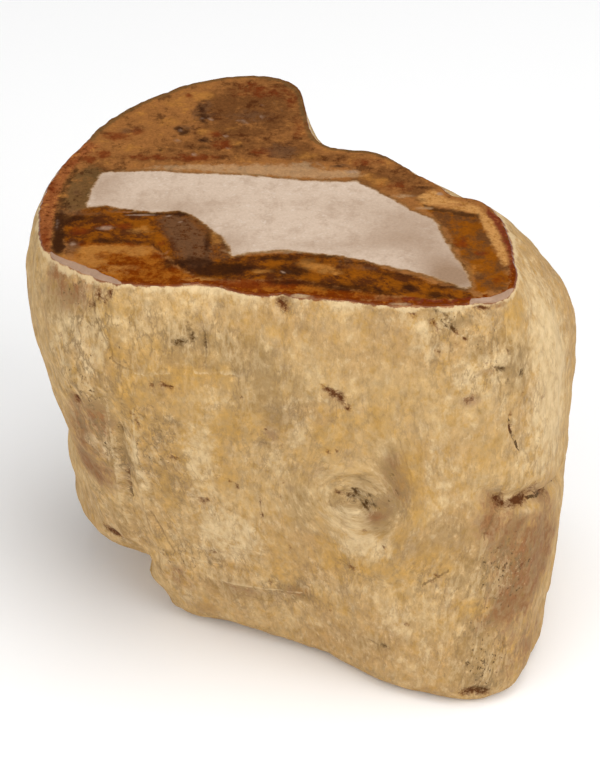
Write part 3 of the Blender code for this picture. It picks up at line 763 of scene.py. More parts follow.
def wall_radius(bearing, height):
    """The plain wall's distance from the axis: out from the rim to the shoulder, then down to the foot."""
    rim_curve = polar_outline(RIM, HEIGHT)
    shoulder = radius_on(polar_outline(SHOULDER, SHOULDER_HEIGHT), bearing)
    middle = radius_on(polar_outline(MIDDLE, MIDDLE_HEIGHT), bearing)
    foot = radius_on(polar_outline(FOOT, 0.0), bearing)
    soft_rim = softened_radius(rim_curve, bearing)
    small_bends = radius_on(rim_curve, bearing) - soft_rim
    rim = soft_rim + small_bends * np.exp((height - HEIGHT) / RIM_DETAIL_DEPTH)
    drop = np.clip((HEIGHT - height) / (HEIGHT - SHOULDER_HEIGHT), 0.0, 1.0)
    swell = (1.0 - np.exp(-RIM_SWELL * drop)) / (1.0 - math.exp(-RIM_SWELL))
    upper = rim + (shoulder - rim) * swell
    down = np.clip((SHOULDER_HEIGHT - height) / SHOULDER_HEIGHT, 0.0, 1.0)
    half = (SHOULDER_HEIGHT - MIDDLE_HEIGHT) / SHOULDER_HEIGHT
    lower = (
        shoulder * (down - half) * (down - 1.0) / half
        + middle * down * (down - 1.0) / (half * (half - 1.0))
        + foot * down * (down - half) / (1.0 - half)
    )
    return np.where(height >= SHOULDER_HEIGHT, upper, lower)


def lower_edge(bearing):
    """The height at which the wall ends: the floor, but higher under the left lobe."""
    degrees = np.degrees(np.mod(bearing, math.tau))
    under_back = smooth_step(*LOBE_BACK_RAMP, degrees)
    return LOBE_CLEARANCE * under_back * (1 - smooth_step(*LOBE_FRONT_RAMP, degrees))


def distance_to_line(points, corners):
    """The distance of each point from a broken line."""
    nearest = np.full(points.shape[:-1], np.inf)
    for start, end in zip(corners[:-1], corners[1:]):
        start = np.array(start, float)
        run = np.array(end, float) - start
        share = np.clip(((points - start) @ run) / max(run @ run, 1e-9), 0.0, 1.0)
        nearest = np.minimum(nearest, np.linalg.norm(points - start - share[..., None] * run, axis=-1))
    return nearest


def noise_field(points, across, along):
    """Smooth noise from -1 to 1, stretched along the trunk."""
    scaled = points / np.array([across, across, along])
    return np.array([noise.noise(Vector(p)) for p in scaled.reshape(-1, 3)]).reshape(points.shape[:-1])


def outward(bearing):
    """The level direction away from the axis at a bearing."""
    return np.stack([np.cos(bearing), np.sin(bearing), np.zeros_like(bearing)], axis=-1)


def relief(points):
    """How far the stone stands out from its plain wall at each point."""
    total = np.zeros(points.shape[:-1])
    for place, reach, height in LUMPS:
        far = np.linalg.norm(points - np.array(place, float), axis=-1)
        total += height * np.exp(-LUMP_FALLOFF * (far / reach) ** 2)
    for corners, half_width, height in LINES:
        total += height * np.exp(-((distance_to_line(points, corners) / half_width) ** 2))
    fade = smooth_step(-FADE_DEPTH / 3, FADE_DEPTH, HEIGHT - points[..., 2])
    for across, along, height in (SWELLS, FLUTES, BURRS):
        total += height * fade * noise_field(points, across, along)
    return total


def wall_points(bearing, height):
    """The wall with its large relief: plain radius, rounded lower edge, lumps and lines."""
    over_edge = np.clip((height - lower_edge(bearing)) / FOOT_ROUNDING, 0.0, 1.0)
    rounding = FOOT_ROUNDING * (1.0 - np.sqrt(np.maximum(0.0, 1.0 - (1.0 - over_edge) ** 2)))
    radius = wall_radius(bearing, height) - rounding
    centre = np.concatenate([axis_point(height), height[..., None]], axis=-1)
    plain = centre + radius[..., None] * outward(bearing)
    return plain + relief(plain)[..., None] * outward(bearing)


def sight_line(x, y):
    """The direction from the camera through a picture pixel."""
    return unit(
        SCREEN_RIGHT * (x - PICTURE_MIDDLE[0]) / FOCAL_PIXELS
        - SCREEN_UP * (y - PICTURE_MIDDLE[1]) / FOCAL_PIXELS
        - TOWARDS_CAMERA
    )


def on_top(x, y):
    """The place on the level of the top that a picture pixel shows, as x and y."""
    line = sight_line(x, y)
    return (CAMERA_PLACE + line * (HEIGHT - CAMERA_PLACE[2]) / line[2])[:2]


def pixel_size(place):
    """The width of one picture pixel at a place, in millimetres."""
    return (CAMERA_DISTANCE - (place - CAMERA_AIM) @ TOWARDS_CAMERA) / FOCAL_PIXELS


def ring_faces(rings, around):
    """Four-sided faces between each ring of points and the next."""
    faces = []
    for ring in range(rings - 1):
        here, below = ring * around, (ring + 1) * around
        for i in range(around):
            after = (i + 1) % around
            faces.append((here + i, below + i, below + after, here + after))
    return faces


def coarse_stone():
    """The wall at a coarse pitch, as a tree that sight lines can be traced to."""
    around, rings = 300, 90
    bearing = np.linspace(0.0, math.tau, around, endpoint=False)
    edge = lower_edge(bearing)
    heights = [edge + (HEIGHT - edge) * share for share in np.linspace(1.0, 0.0, rings)]
    points = np.concatenate([wall_points(bearing, height) for height in heights])
    return BVHTree.FromPolygons(points.tolist(), ring_faces(rings, around))


STONE_TREE = coarse_stone()


def on_stone(x, y):
    """The place on the wall that a picture pixel shows, and the wall's direction there.

    A pixel just past the stone's edge is drawn back towards its middle until it meets the stone.
    """
    pixel = np.array([x, y], float)
    for _ in range(DRAW_BACK_TRIES):
        place, normal, _, _ = STONE_TREE.ray_cast(Vector(CAMERA_PLACE), Vector(sight_line(*pixel)))
        if place is not None:
            place, normal = np.array(place), np.array(normal)
            return place, normal if normal @ TOWARDS_CAMERA > 0 else -normal
        pixel += (STONE_MIDDLE - pixel) * DRAW_BACK_SHARE
    raise ValueError(f"no stone at picture pixel {x}, {y}")


def traced_line(corners):
    """A picture line laid on the stone in short straight runs."""
    places = []
    for (x0, y0), (x1, y1) in zip(corners[:-1], corners[1:]):
        steps = max(1, round(math.hypot(x1 - x0, y1 - y0) / TRACE_STEP))
        for step in range(steps):
            share = step / steps
            places.append(on_stone(x0 + (x1 - x0) * share, y0 + (y1 - y0) * share)[0])
    places.append(on_stone(*corners[-1])[0])
    return places


def wall_directions(normal):
    """The directions across and up the wall at a place, from the wall's own direction there."""
    across = unit(np.cross([0.0, 0.0, 1.0], normal))
    return across, np.cross(normal, across)


def patch_amount(points, place, normal, reach_across, reach_along):
    """How far each point belongs to an oval patch of the wall: 1 at its middle, less past its edge."""
    across, along = wall_directions(normal)
    offset = points - place
    far = (
        (offset @ across / reach_across) ** 2
        + (offset @ along / reach_along) ** 2
        + (offset @ normal / max(PATCH_DEPTH, reach_across, reach_along)) ** 2
    )
    return np.exp(-SPOT_FALLOFF * far)


def picture_patch(points, x, y, half_width, half_height):
    """The same for a patch given by picture pixels."""
    place, normal = on_stone(x, y)
    across, along = wall_directions(normal)
    size = pixel_size(place)
    reach_across = half_width * size / max(LEAST_FACING, abs(across @ SCREEN_RIGHT))
    reach_along = half_height * size / max(LEAST_FACING, abs(along @ SCREEN_UP))
    return patch_amount(points, place, normal, reach_across, reach_along)


def picture_stains(points, stains):
    """The summed strength of the stains in a table of picture places."""
    total = np.zeros(points.shape[:-1])
    for x, y, half_width, half_height, strength in stains:
        total += strength * picture_patch(points, x, y, half_width, half_height)
    return total


def back_stains(points, seed, count, widths, strengths):
    """Stains of the sides that the photograph doesn't show, scattered at random."""
    draw = random.Random(seed)
    total = np.zeros(points.shape[:-1])
    for _ in range(count):
        bearing = np.array(math.radians(draw.uniform(*BACK_BEARINGS)))
        height = np.array(draw.uniform(*BACK_HEIGHTS))
        place = wall_points(bearing, height)
        wide = draw.uniform(*widths)
        tall = wide * draw.uniform(*BACK_LENGTHENING)
        total += draw.uniform(*strengths) * patch_amount(points, place, outward(bearing), wide, tall)
    return total


def grain_place(points):
    """Each point moved across the grain, so that straight streaks bend round the knot and then ring it."""
    knot, normal = on_stone(*KNOT)
    across, along = wall_directions(normal)
    offset = points - knot
    u, v = offset @ across, offset @ along
    radius = np.sqrt(u**2 + v**2 + (offset @ normal) ** 2 * KNOT_DEPTH_SHARE) + 1e-6
    outside = -u * (KNOT_RADIUS / radius) ** 2
    inside = (KNOT_RADIUS - radius) - u
    shift = np.where(radius > KNOT_RADIUS, outside, inside)
    lean = np.clip(GRAIN_LEAN - GRAIN_LEAN_GROWTH * points[..., 0], *GRAIN_LEAN_LIMITS)
    straight = points - np.stack([lean * (HEIGHT - points[..., 2]), 0 * lean, 0 * lean], axis=-1)
    return straight + shift[..., None] * across, radius


def fine_relief(points, grain, knot_far):
    """The small relief of the weathered face: fibres, crumbs and knot rings."""
    total = np.zeros(points.shape[:-1])
    for across, along, height in (FIBRES, GRAIN_RIDGES):
        total += height * noise_field(grain, across, along)
    across, along, height = CRUMBS
    total += height * noise_field(points, across, along)
    rings = np.cos(knot_far / RING_PITCH * math.tau)
    total += RING_HEIGHT * rings * smooth_step(*RINGS_END, knot_far) * smooth_step(*RINGS_BEGIN, knot_far)
    total *= smooth_step(0.0, FINE_FADE_DEPTH, HEIGHT - points[..., 2])
    return total


def rim_chips(points, top):
    """How deep the sawn rim is chipped, which fades out a few millimetres down the wall."""
    total = np.zeros(points.shape[:-1])
    for size, depth in RIM_CHIPS:
        total += depth * np.clip(noise_field(points, size, RIM_CHIP_STRETCH * size), 0.0, 1.0)
    return total * np.exp(-(top - points[..., 2]) / RIM_CHIP_FADE)


def sided_distance(points, facing, corners):
    """Each point's distance from a broken line on the wall, and the same with a minus on one side."""
    nearest = np.full(points.shape[:-1], np.inf)
    sided = nearest.copy()
    for start, end in zip(corners[:-1], corners[1:]):
        run = end - start
        share = np.clip(((points - start) @ run) / max(run @ run, 1e-9), 0.0, 1.0)
        offset = points - start - share[..., None] * run
        far = np.linalg.norm(offset, axis=-1)
        side = np.sign(np.sum(np.cross(run, facing) * offset, axis=-1))
        sided = np.where(far < nearest, far * side, sided)
        nearest = np.minimum(nearest, far)
    return nearest, sided


def crack_marks(points, facing):
    """The relief of the named cracks and ridges, and what the rind reads to colour them.

    That is each point's distance from its nearest coloured line, with a minus on one side of it, how
    near that is from 0 to 1, and how dark the line is: dark fill with painted shade, or with a minus
    how pale, a painted highlight.
    """
    height_sum = np.zeros(points.shape[:-1])
    side = np.full(points.shape[:-1], CRACK_MARGIN)
    nearness, darkness = np.zeros(points.shape[:-1]), np.zeros(points.shape[:-1])
    for corners, half_width, height, dark in CRACKS:
        line = np.array(traced_line(corners))
        around = (points > line.min(axis=0) - CRACK_MARGIN) & (points < line.max(axis=0) + CRACK_MARGIN)
        chosen = around.all(axis=-1)
        distance, sided = sided_distance(points[chosen], facing[chosen], line)
        height_sum[chosen] += height * np.exp(-((distance / half_width) ** 2))
        if dark:
            near = np.exp(-((distance / CRACK_REACH) ** 2))
            closest = near > nearness[chosen]
            side[chosen] = np.where(closest, sided, side[chosen])
            darkness[chosen] = np.where(closest, dark, darkness[chosen])
            nearness[chosen] = np.maximum(nearness[chosen], near)
    return height_sum, side, nearness, darkness


def column_bearings():
    """Bearings of the columns, closer together at the front."""
    even = np.linspace(0.0, math.tau, 4096)
    density = 1.0 + FRONT_CROWDING * np.cos(even - FRONT_BEARING)
    travelled = np.concatenate([[0.0], np.cumsum((density[1:] + density[:-1]) / 2)])
    travelled /= travelled[-1]
    return np.interp(np.linspace(0.0, 1.0, COLUMNS, endpoint=False), travelled, even)


def strip_drop(bearing):
    """How far the rim is ground down at each bearing, and how wide the ground strip is."""
    drop = np.zeros_like(bearing)
    width = np.zeros_like(bearing)
    for start, end, strip_width, strip_depth in EDGE_STRIPS:
        ends = [on_top(*pixel) - np.array(TOP_CENTRE) for pixel in (start, end)]
        first, last = [math.atan2(y, x) % math.tau for x, y in ends]
        share = (np.mod(bearing, math.tau) - first) / (last - first)
        lens = np.sqrt(np.clip(4.0 * share * (1.0 - share), 0.0, 1.0))
        drop += strip_depth * lens
        width = np.maximum(width, strip_width * lens)
    return drop, width


def top_rings(rim, drop, width):
    """Rings from the rim in to the middle of the polished top, which falls away only on its edge strips.

    With them goes how far inside a strip each point lies, from the innermost ring out.
    """
    centre = np.array(TOP_CENTRE)
    offsets = rim[:, :2] - centre
    radius = np.linalg.norm(offsets, axis=1)
    last_inset = RIM_INSETS[-1]
    insets = [np.full_like(radius, inset) for inset in RIM_INSETS]
    for share in np.linspace(0.0, 1.0, TOP_RINGS + 1)[1:-1]:
        insets.append(last_inset + (radius - last_inset) * share)
    rings = []
    for inset in insets:
        flat = centre + offsets * (1.0 - inset / radius)[:, None]
        fall = drop * np.clip(1.0 - inset / np.maximum(width, 0.1), 0.0, 1.0)
        rings.append(np.column_stack([flat, HEIGHT - fall]))
    return rings, np.concatenate([width - inset for inset in reversed(insets)])


def under_rings(edge_ring):
    """Rings from the lower edge in to the flat foot: level all round, but falling from under the lobe."""
    centre = np.array([*FOOT_CENTRE, 0.0])
    offsets = (edge_ring - centre)[:, :2]
    far = np.linalg.norm(offsets, axis=1)
    edge_height = edge_ring[:, 2]
    lobe_share = edge_height / LOBE_CLEARANCE
    near = far - FOOT_MARGIN
    near = near + (np.minimum(near, FOOT_RADIUS_UNDER_LOBE) - near) * lobe_share
    rings = []
    for share in np.linspace(0.0, 1.0, UNDER_RINGS + 1)[1:]:
        radius = far + (near - far) * share
        flat = centre[:2] + offsets / far[:, None] * radius[:, None]
        rings.append(np.column_stack([flat, edge_height * (1.0 - share**2)]))
    return rings


def signed_distance(points, outline):
    """How far each point lies inside a closed outline on the top, in millimetres: below 0 outside it."""
    corners = np.array([on_top(*pixel) for pixel in outline])
    nearest = distance_to_line(points, np.vstack([corners, corners[:1]]))
    inside = np.zeros(len(points), bool)
    x, y = points[:, 0], points[:, 1]
    for (x0, y0), (x1, y1) in zip(corners, np.roll(corners, -1, axis=0)):
        if y0 != y1:
            inside ^= ((y0 > y) != (y1 > y)) & (x < (x1 - x0) * (y - y0) / (y1 - y0) + x0)
    return np.where(inside, nearest, -nearest)


def top_spots(points, spots):
    """The summed strength of oval spots on the polished top."""
    total = np.zeros(len(points))
    for x, y, half_width, half_height, strength in spots:
        place = on_top(x, y)
        size = pixel_size(np.array([*place, HEIGHT]))
        u = (points[:, 0] - place[0]) / (half_width * size)
        v = (points[:, 1] - place[1]) / (half_height * size / math.sin(CAMERA_ELEVATION))
        total += strength * np.exp(-SPOT_FALLOFF * (u**2 + v**2))
    return total


def carved_wall(bearing, heights, top):
    """The rings of the wall with its cracks, pits and chips, the grain there, and the rind's marks.

    A mark is an amount for each point, with the value that the rest of the block keeps.
    """
    wall = np.array([wall_points(bearing, height) for height in heights])
    grain, knot_far = grain_place(wall)
    facing = np.broadcast_to(outward(bearing), wall.shape)
    cracks, crack_side, crack_near, crack_fill_shade_highlight = crack_marks(wall, facing)
    pits = picture_stains(wall, PITS) + back_stains(wall, *BACK_PITS)
    fine = fine_relief(wall, grain, knot_far) - rim_chips(wall, top)
    above_floor = smooth_step(0.0, FLOOR_FADE, wall[..., 2])
    wall = wall + ((fine + cracks - PIT_DEPTH * pits) * above_floor)[..., None] * outward(bearing)
    marks = {
        "crack": (crack_near, 0.0),
        "crack_side": (crack_side, CRACK_MARGIN),
        "crack_fill_shade_highlight": (crack_fill_shade_highlight, 0.0),
        "pit": (pits, 0.0),
        "rim_depth": (top - wall[..., 2], FAR_AWAY),
    }
    for name, stains, back in (
        ("speckled", SPECKLED, BACK_SPECKLED), ("ochre", OCHRE_STAINS, BACK_OCHRE),
        ("cream", CREAM_STAINS_AND_PAINTED_LIGHT, BACK_CREAM), ("grey_brown", GREY_STAINS_AND_SHADE, BACK_GREY),
        ("mauve", MAUVE_STAINS_AND_SHADE, BACK_MAUVE),
    ):
        marks[name] = (picture_stains(wall, stains) + back_stains(wall, *back), 0.0)
    return wall, grain, marks


def top_marks(places, rim, in_strip):
    """The marks that the polished top's finish reads, in the same form."""
    marks = {}
    for name, outline in (
        ("core", PALE_CORE), ("dark_lobe", DARK_LOBE), ("grey_lobe", GREY_LOBE), ("red", FRONT_RED),
        ("crescent", OCHRE_CRESCENT), ("agate", AGATE_POOL), ("black_band", BLACK_BAND),
        ("right_end", RIGHT_END), ("bark", LEFT_BARK), ("seam", LEFT_SEAM), ("seam", RIGHT_SEAM),
        ("olive", LEFT_OLIVE), ("tan", RIGHT_TAN), ("tan", UPPER_TAN), ("red", RIGHT_RED),
    ):
        so_far = marks[name][0] if name in marks else -FAR_AWAY
        marks[name] = (np.maximum(so_far, signed_distance(places, outline)), -FAR_AWAY)
    for name, spots in (
        ("fringe", SPOT_PALE_FRINGE), ("iron_red", SPOT_RED), ("top_ochre", SPOT_OCHRE),
        ("top_grey", SPOT_GREY), ("top_dark", SPOT_DARK), ("painted_glints", SPOT_PAINTED_GLINTS),
        ("lobe_brown", SPOT_BROWN), ("core_shade", SPOT_CORE_SHADE), ("chips", SPOT_CHIPS_AND_HIGHLIGHTS),
    ):
        marks[name] = (top_spots(places, spots), 0.0)
    coarse_rim = np.vstack([rim, rim[:1]])[::RIM_SKIP]
    marks["from_rim"] = (distance_to_line(places, coarse_rim), 0.0)
    marks["strip"] = (in_strip, OFF_STRIP)
    return marks


def build_block():
    """The whole block as one closed mesh, with its stains and zones kept on its points."""
    bearing = column_bearings()
    edge = lower_edge(bearing)
    drop, width = strip_drop(bearing)
    top = HEIGHT - RIM_EASING - drop
    heights = [top + (edge + FOOT_ROUNDING - top) * share for share in np.linspace(0.0, 1.0, WALL_RINGS)]
    for turn in np.linspace(0.0, math.pi / 2, EDGE_RINGS + 1)[1:]:
        heights.append(edge + FOOT_ROUNDING * (1.0 - math.sin(turn)))
    wall, grain, rind_marks = carved_wall(bearing, heights, top)
    cap, in_strip = top_rings(wall[0], drop, width)

    loops = [*reversed(cap), *wall, *under_rings(wall[-1])]
    points = np.concatenate([*loops, [[*TOP_CENTRE, HEIGHT]]])
    middle_fan = [(len(points) - 1, i, (i + 1) % COLUMNS) for i in range(COLUMNS)]
    foot_start = (len(loops) - 1) * COLUMNS
    foot = tuple(foot_start + i for i in reversed(range(COLUMNS)))
    faces = [*middle_fan, *ring_faces(len(loops), COLUMNS), foot]
    polished = (1 + len(cap)) * COLUMNS

    mesh = bpy.data.meshes.new("fossil_block")
    mesh.from_pydata(points.tolist(), [], faces)
    mesh.polygons.foreach_set("material_index", [1] * polished + [0] * (len(faces) - polished))
    mesh.polygons.foreach_set("use_smooth", [len(face) == 4 for face in faces])
    sharpen_rim(mesh, (len(cap) - 1) * COLUMNS)

    on_wall = slice(len(cap) * COLUMNS, (len(cap) + len(wall)) * COLUMNS)
    on_cap = np.append(np.arange(polished), len(points) - 1)
    in_strip = np.concatenate([in_strip, width, [OFF_STRIP]])
    cap_marks = top_marks(points[on_cap, :2], wall[0][:, :2], in_strip)
    for chosen, marks in ((on_wall, rind_marks), (on_cap, cap_marks)):
        for name, (amounts, elsewhere) in marks.items():
            whole = np.full(len(points), elsewhere)
            whole[chosen] = amounts.ravel()
            keep_on_points(mesh, name, whole)
    keep_on_points(mesh, "backward", points[:, 1] - TOP_CENTRE[1])
    keep_on_points(mesh, "place", points)
    grain_all = points.copy()
    grain_all[on_wall] = grain.reshape(-1, 3)
    keep_on_points(mesh, "grain", grain_all)

    low, high = points.min(axis=0), points.max(axis=0)
    middle = (np.array(cad_low) + np.array(cad_high)) / 2.0 / MM
    shift = np.array([*((low + high) / 2.0)[:2], low[2]]) - np.array([middle[0], middle[1], 0.0])
    mesh.vertices.foreach_set("co", ((points - shift) * MM).ravel())
    mesh.update()
    block = bpy.data.objects.new("fossil_block", mesh)
    bpy.context.scene.collection.objects.link(block)
    return block, shift


def sharpen_rim(mesh, ring_start):
    """A crisp line where the polished top meets its eased rim."""
    ends = np.empty(len(mesh.edges) * 2, np.int32)
    mesh.edges.foreach_get("vertices", ends)
    on_ring = (ends >= ring_start) & (ends < ring_start + COLUMNS)
    crisp = on_ring.reshape(-1, 2).all(axis=1)
    mesh.attributes.new("sharp_edge", "BOOLEAN", "EDGE").data.foreach_set("value", crisp)


def keep_on_points(mesh, name, amounts):
    """Amounts, or places, kept on the mesh's points for a finish to read."""
    if amounts.ndim == 2:
        kept = mesh.attributes.new(name, "FLOAT_VECTOR", "POINT")
        kept.data.foreach_set("vector", amounts.astype(np.float32).ravel())
    else:
        kept = mesh.attributes.new(name, "FLOAT", "POINT")
        kept.data.foreach_set("value", amounts.astype(np.float32))


class Recipe:
    """Short ways to add and join the steps of one finish."""

    def __init__(self, tree):
        self.tree = tree

    def feed(self, socket, value):
        if isinstance(value, bpy.types.NodeSocket):
            self.tree.links.new(value, socket)
        elif isinstance(value, tuple) and len(value) == 3 and socket.type == "RGBA":
            socket.default_value = stone_colour(value)
        else:
            socket.default_value = value

    def step(self, kind, inputs, **settings):
        node = self.tree.nodes.new(kind)
        for name, value in settings.items():
            setattr(node, name, value)
        for key, value in inputs.items():
            self.feed(node.inputs[key], value)
        return node

    def amount(self, name):
        return self.step("ShaderNodeAttribute", {}, attribute_name=name).outputs["Fac"]

    def place(self, name):
        return self.step("ShaderNodeAttribute", {}, attribute_name=name).outputs["Vector"]

    def maths(self, operation, first, second=0.0, clamped=False):
        node = self.step("ShaderNodeMath", {0: first, 1: second}, operation=operation)
        node.use_clamp = clamped
        return node.outputs[0]

    def times(self, first, second):
        return self.maths("MULTIPLY", first, second)

    def plus(self, first, second):
        return self.maths("ADD", first, second)

    def minus(self, first, second):
        return self.maths("SUBTRACT", first, second)

    def off(self, value, level):
        """How far a value lies from a level, either way."""
        return self.maths("ABSOLUTE", self.minus(value, level))

    def scaled(self, vector, factors):
        node = self.step("ShaderNodeVectorMath", {0: vector, 1: factors}, operation="MULTIPLY")
        return node.outputs[0]

    def cloud(self, vector, size, detail=3.0, roughness=0.5):
        inputs = {"Vector": vector, "Scale": 1.0 / size, "Detail": detail, "Roughness": roughness}
        return self.step("ShaderNodeTexNoise", inputs).outputs["Fac"]

    def rise(self, value, low, high):
        """0 below low, 1 above high, and a smooth rise between them."""
        inputs = {"Value": value, "From Min": low, "From Max": high}
        return self.step("ShaderNodeMapRange", inputs, interpolation_type="SMOOTHSTEP").outputs["Result"]

    def ranged(self, value, low, high):
        """A value from 0 to 1 spread from low to high."""
        return self.step("ShaderNodeMapRange", {"Value": value, "To Min": low, "To Max": high}).outputs[0]

    def blend(self, amount, under, over, way="MIX"):
        node = self.step("ShaderNodeMix", {}, data_type="RGBA", blend_type=way)
        self.feed(node.inputs[0], amount)
        self.feed(node.inputs[6], under)
        self.feed(node.inputs[7], over)
        return node.outputs[2]

    def laid(self, under, stone, *shares):
        """A stone laid over another by the product of some shares."""
        share = shares[0]
        for next_share in shares[1:]:
            share = self.times(share, next_share)
        return self.blend(share, under, stone)

    def toned(self, colour, factor):
        """A colour made lighter or darker by a factor that may change over the surface."""
        if isinstance(colour, tuple):
            colour = stone_colour(colour)[:3]
        node = self.step("ShaderNodeVectorMath", {0: colour, "Scale": factor}, operation="SCALE")
        return node.outputs[0]

    def stones(self, noise, low, high, first, second):
        """One stone that gives way to another as a noise rises."""
        return self.blend(self.rise(noise, low, high), first, second)

    def flipped(self, value):
        return self.minus(1.0, value)

    def effect(self, group, **inputs):
        """The outputs of an effect that more than one finish uses."""
        node = self.tree.nodes.new("ShaderNodeGroup")
        node.node_tree = group
        for name, value in inputs.items():
            self.feed(node.inputs[name.replace("_", " ")], value)
        return node.outputs

    def mask(self, group, amount, tear, start, torn, soft):
        """Where an amount passes a start, with its edge torn by a noise."""
        over = self.minus(amount, start)
        return self.effect(group, Amount=over, Tear=tear, Torn_by=torn, Softness=soft)["Mask"]


def new_effect(name, inputs, outputs):
    """An empty effect that more than one finish can use, with its named inputs and outputs."""
    group = bpy.data.node_groups.new(name, "ShaderNodeTree")
    for label, kind, start in inputs:
        socket = group.interface.new_socket(label, in_out="INPUT", socket_type=kind)
        if start is not None:
            socket.default_value = start
    for label in outputs:
        group.interface.new_socket(label, in_out="OUTPUT", socket_type="NodeSocketFloat")
    given, result = group.nodes.new("NodeGroupInput"), group.nodes.new("NodeGroupOutput")
    return group, Recipe(group), given.outputs, result.inputs


def ragged_edge_effect():
    """A mask that starts where a distance or an amount passes 0, with its edge torn by a noise."""
    group, recipe, given, result = new_effect(
        "ragged edge",
        [("Amount", "NodeSocketFloat", 0.0), ("Tear", "NodeSocketFloat", 0.5),
         ("Torn by", "NodeSocketFloat", 1.0), ("Softness", "NodeSocketFloat", 0.3)],
        ["Mask"],
    )
    tear = recipe.times(recipe.minus(given["Tear"], 0.5), given["Torn by"])
    moved = recipe.plus(given["Amount"], recipe.times(tear, 2.0))
    low = recipe.times(given["Softness"], -1.0)
    recipe.feed(result["Mask"], recipe.rise(moved, low, given["Softness"]))
    return group


def grit_effect():
    """Small grains, as a mask of the dark ones and a mask of the light ones."""
    group, recipe, given, result = new_effect(
        "grit",
        [("Place", "NodeSocketVector", None), ("Size", "NodeSocketFloat", 1.4),
         ("Crowding", "NodeSocketFloat", 0.5)],
        ["Dark", "Light"],
    )
    spread = recipe.step("ShaderNodeVectorMath", {0: given["Place"]}, operation="SCALE")
    recipe.feed(spread.inputs["Scale"], recipe.maths("DIVIDE", 1.0, given["Size"]))
    grains = recipe.cloud(spread.outputs[0], 1.0, 2.0, 0.7)
    start = recipe.minus(GRIT_START, recipe.times(given["Crowding"], GRIT_CROWDING))
    recipe.feed(result["Dark"], recipe.rise(grains, start, recipe.plus(start, GRIT_EDGE)))
    low = recipe.flipped(start)
    recipe.feed(result["Light"], recipe.rise(grains, low, recipe.minus(low, GRIT_EDGE)))
    return group


def new_finish(name):
    """An empty finish, with the recipe that fills it and the inputs of its shader."""
    finish = bpy.data.materials.new(name)
    finish.use_nodes = True
    return finish, Recipe(finish.node_tree), finish.node_tree.nodes["Principled BSDF"].inputs


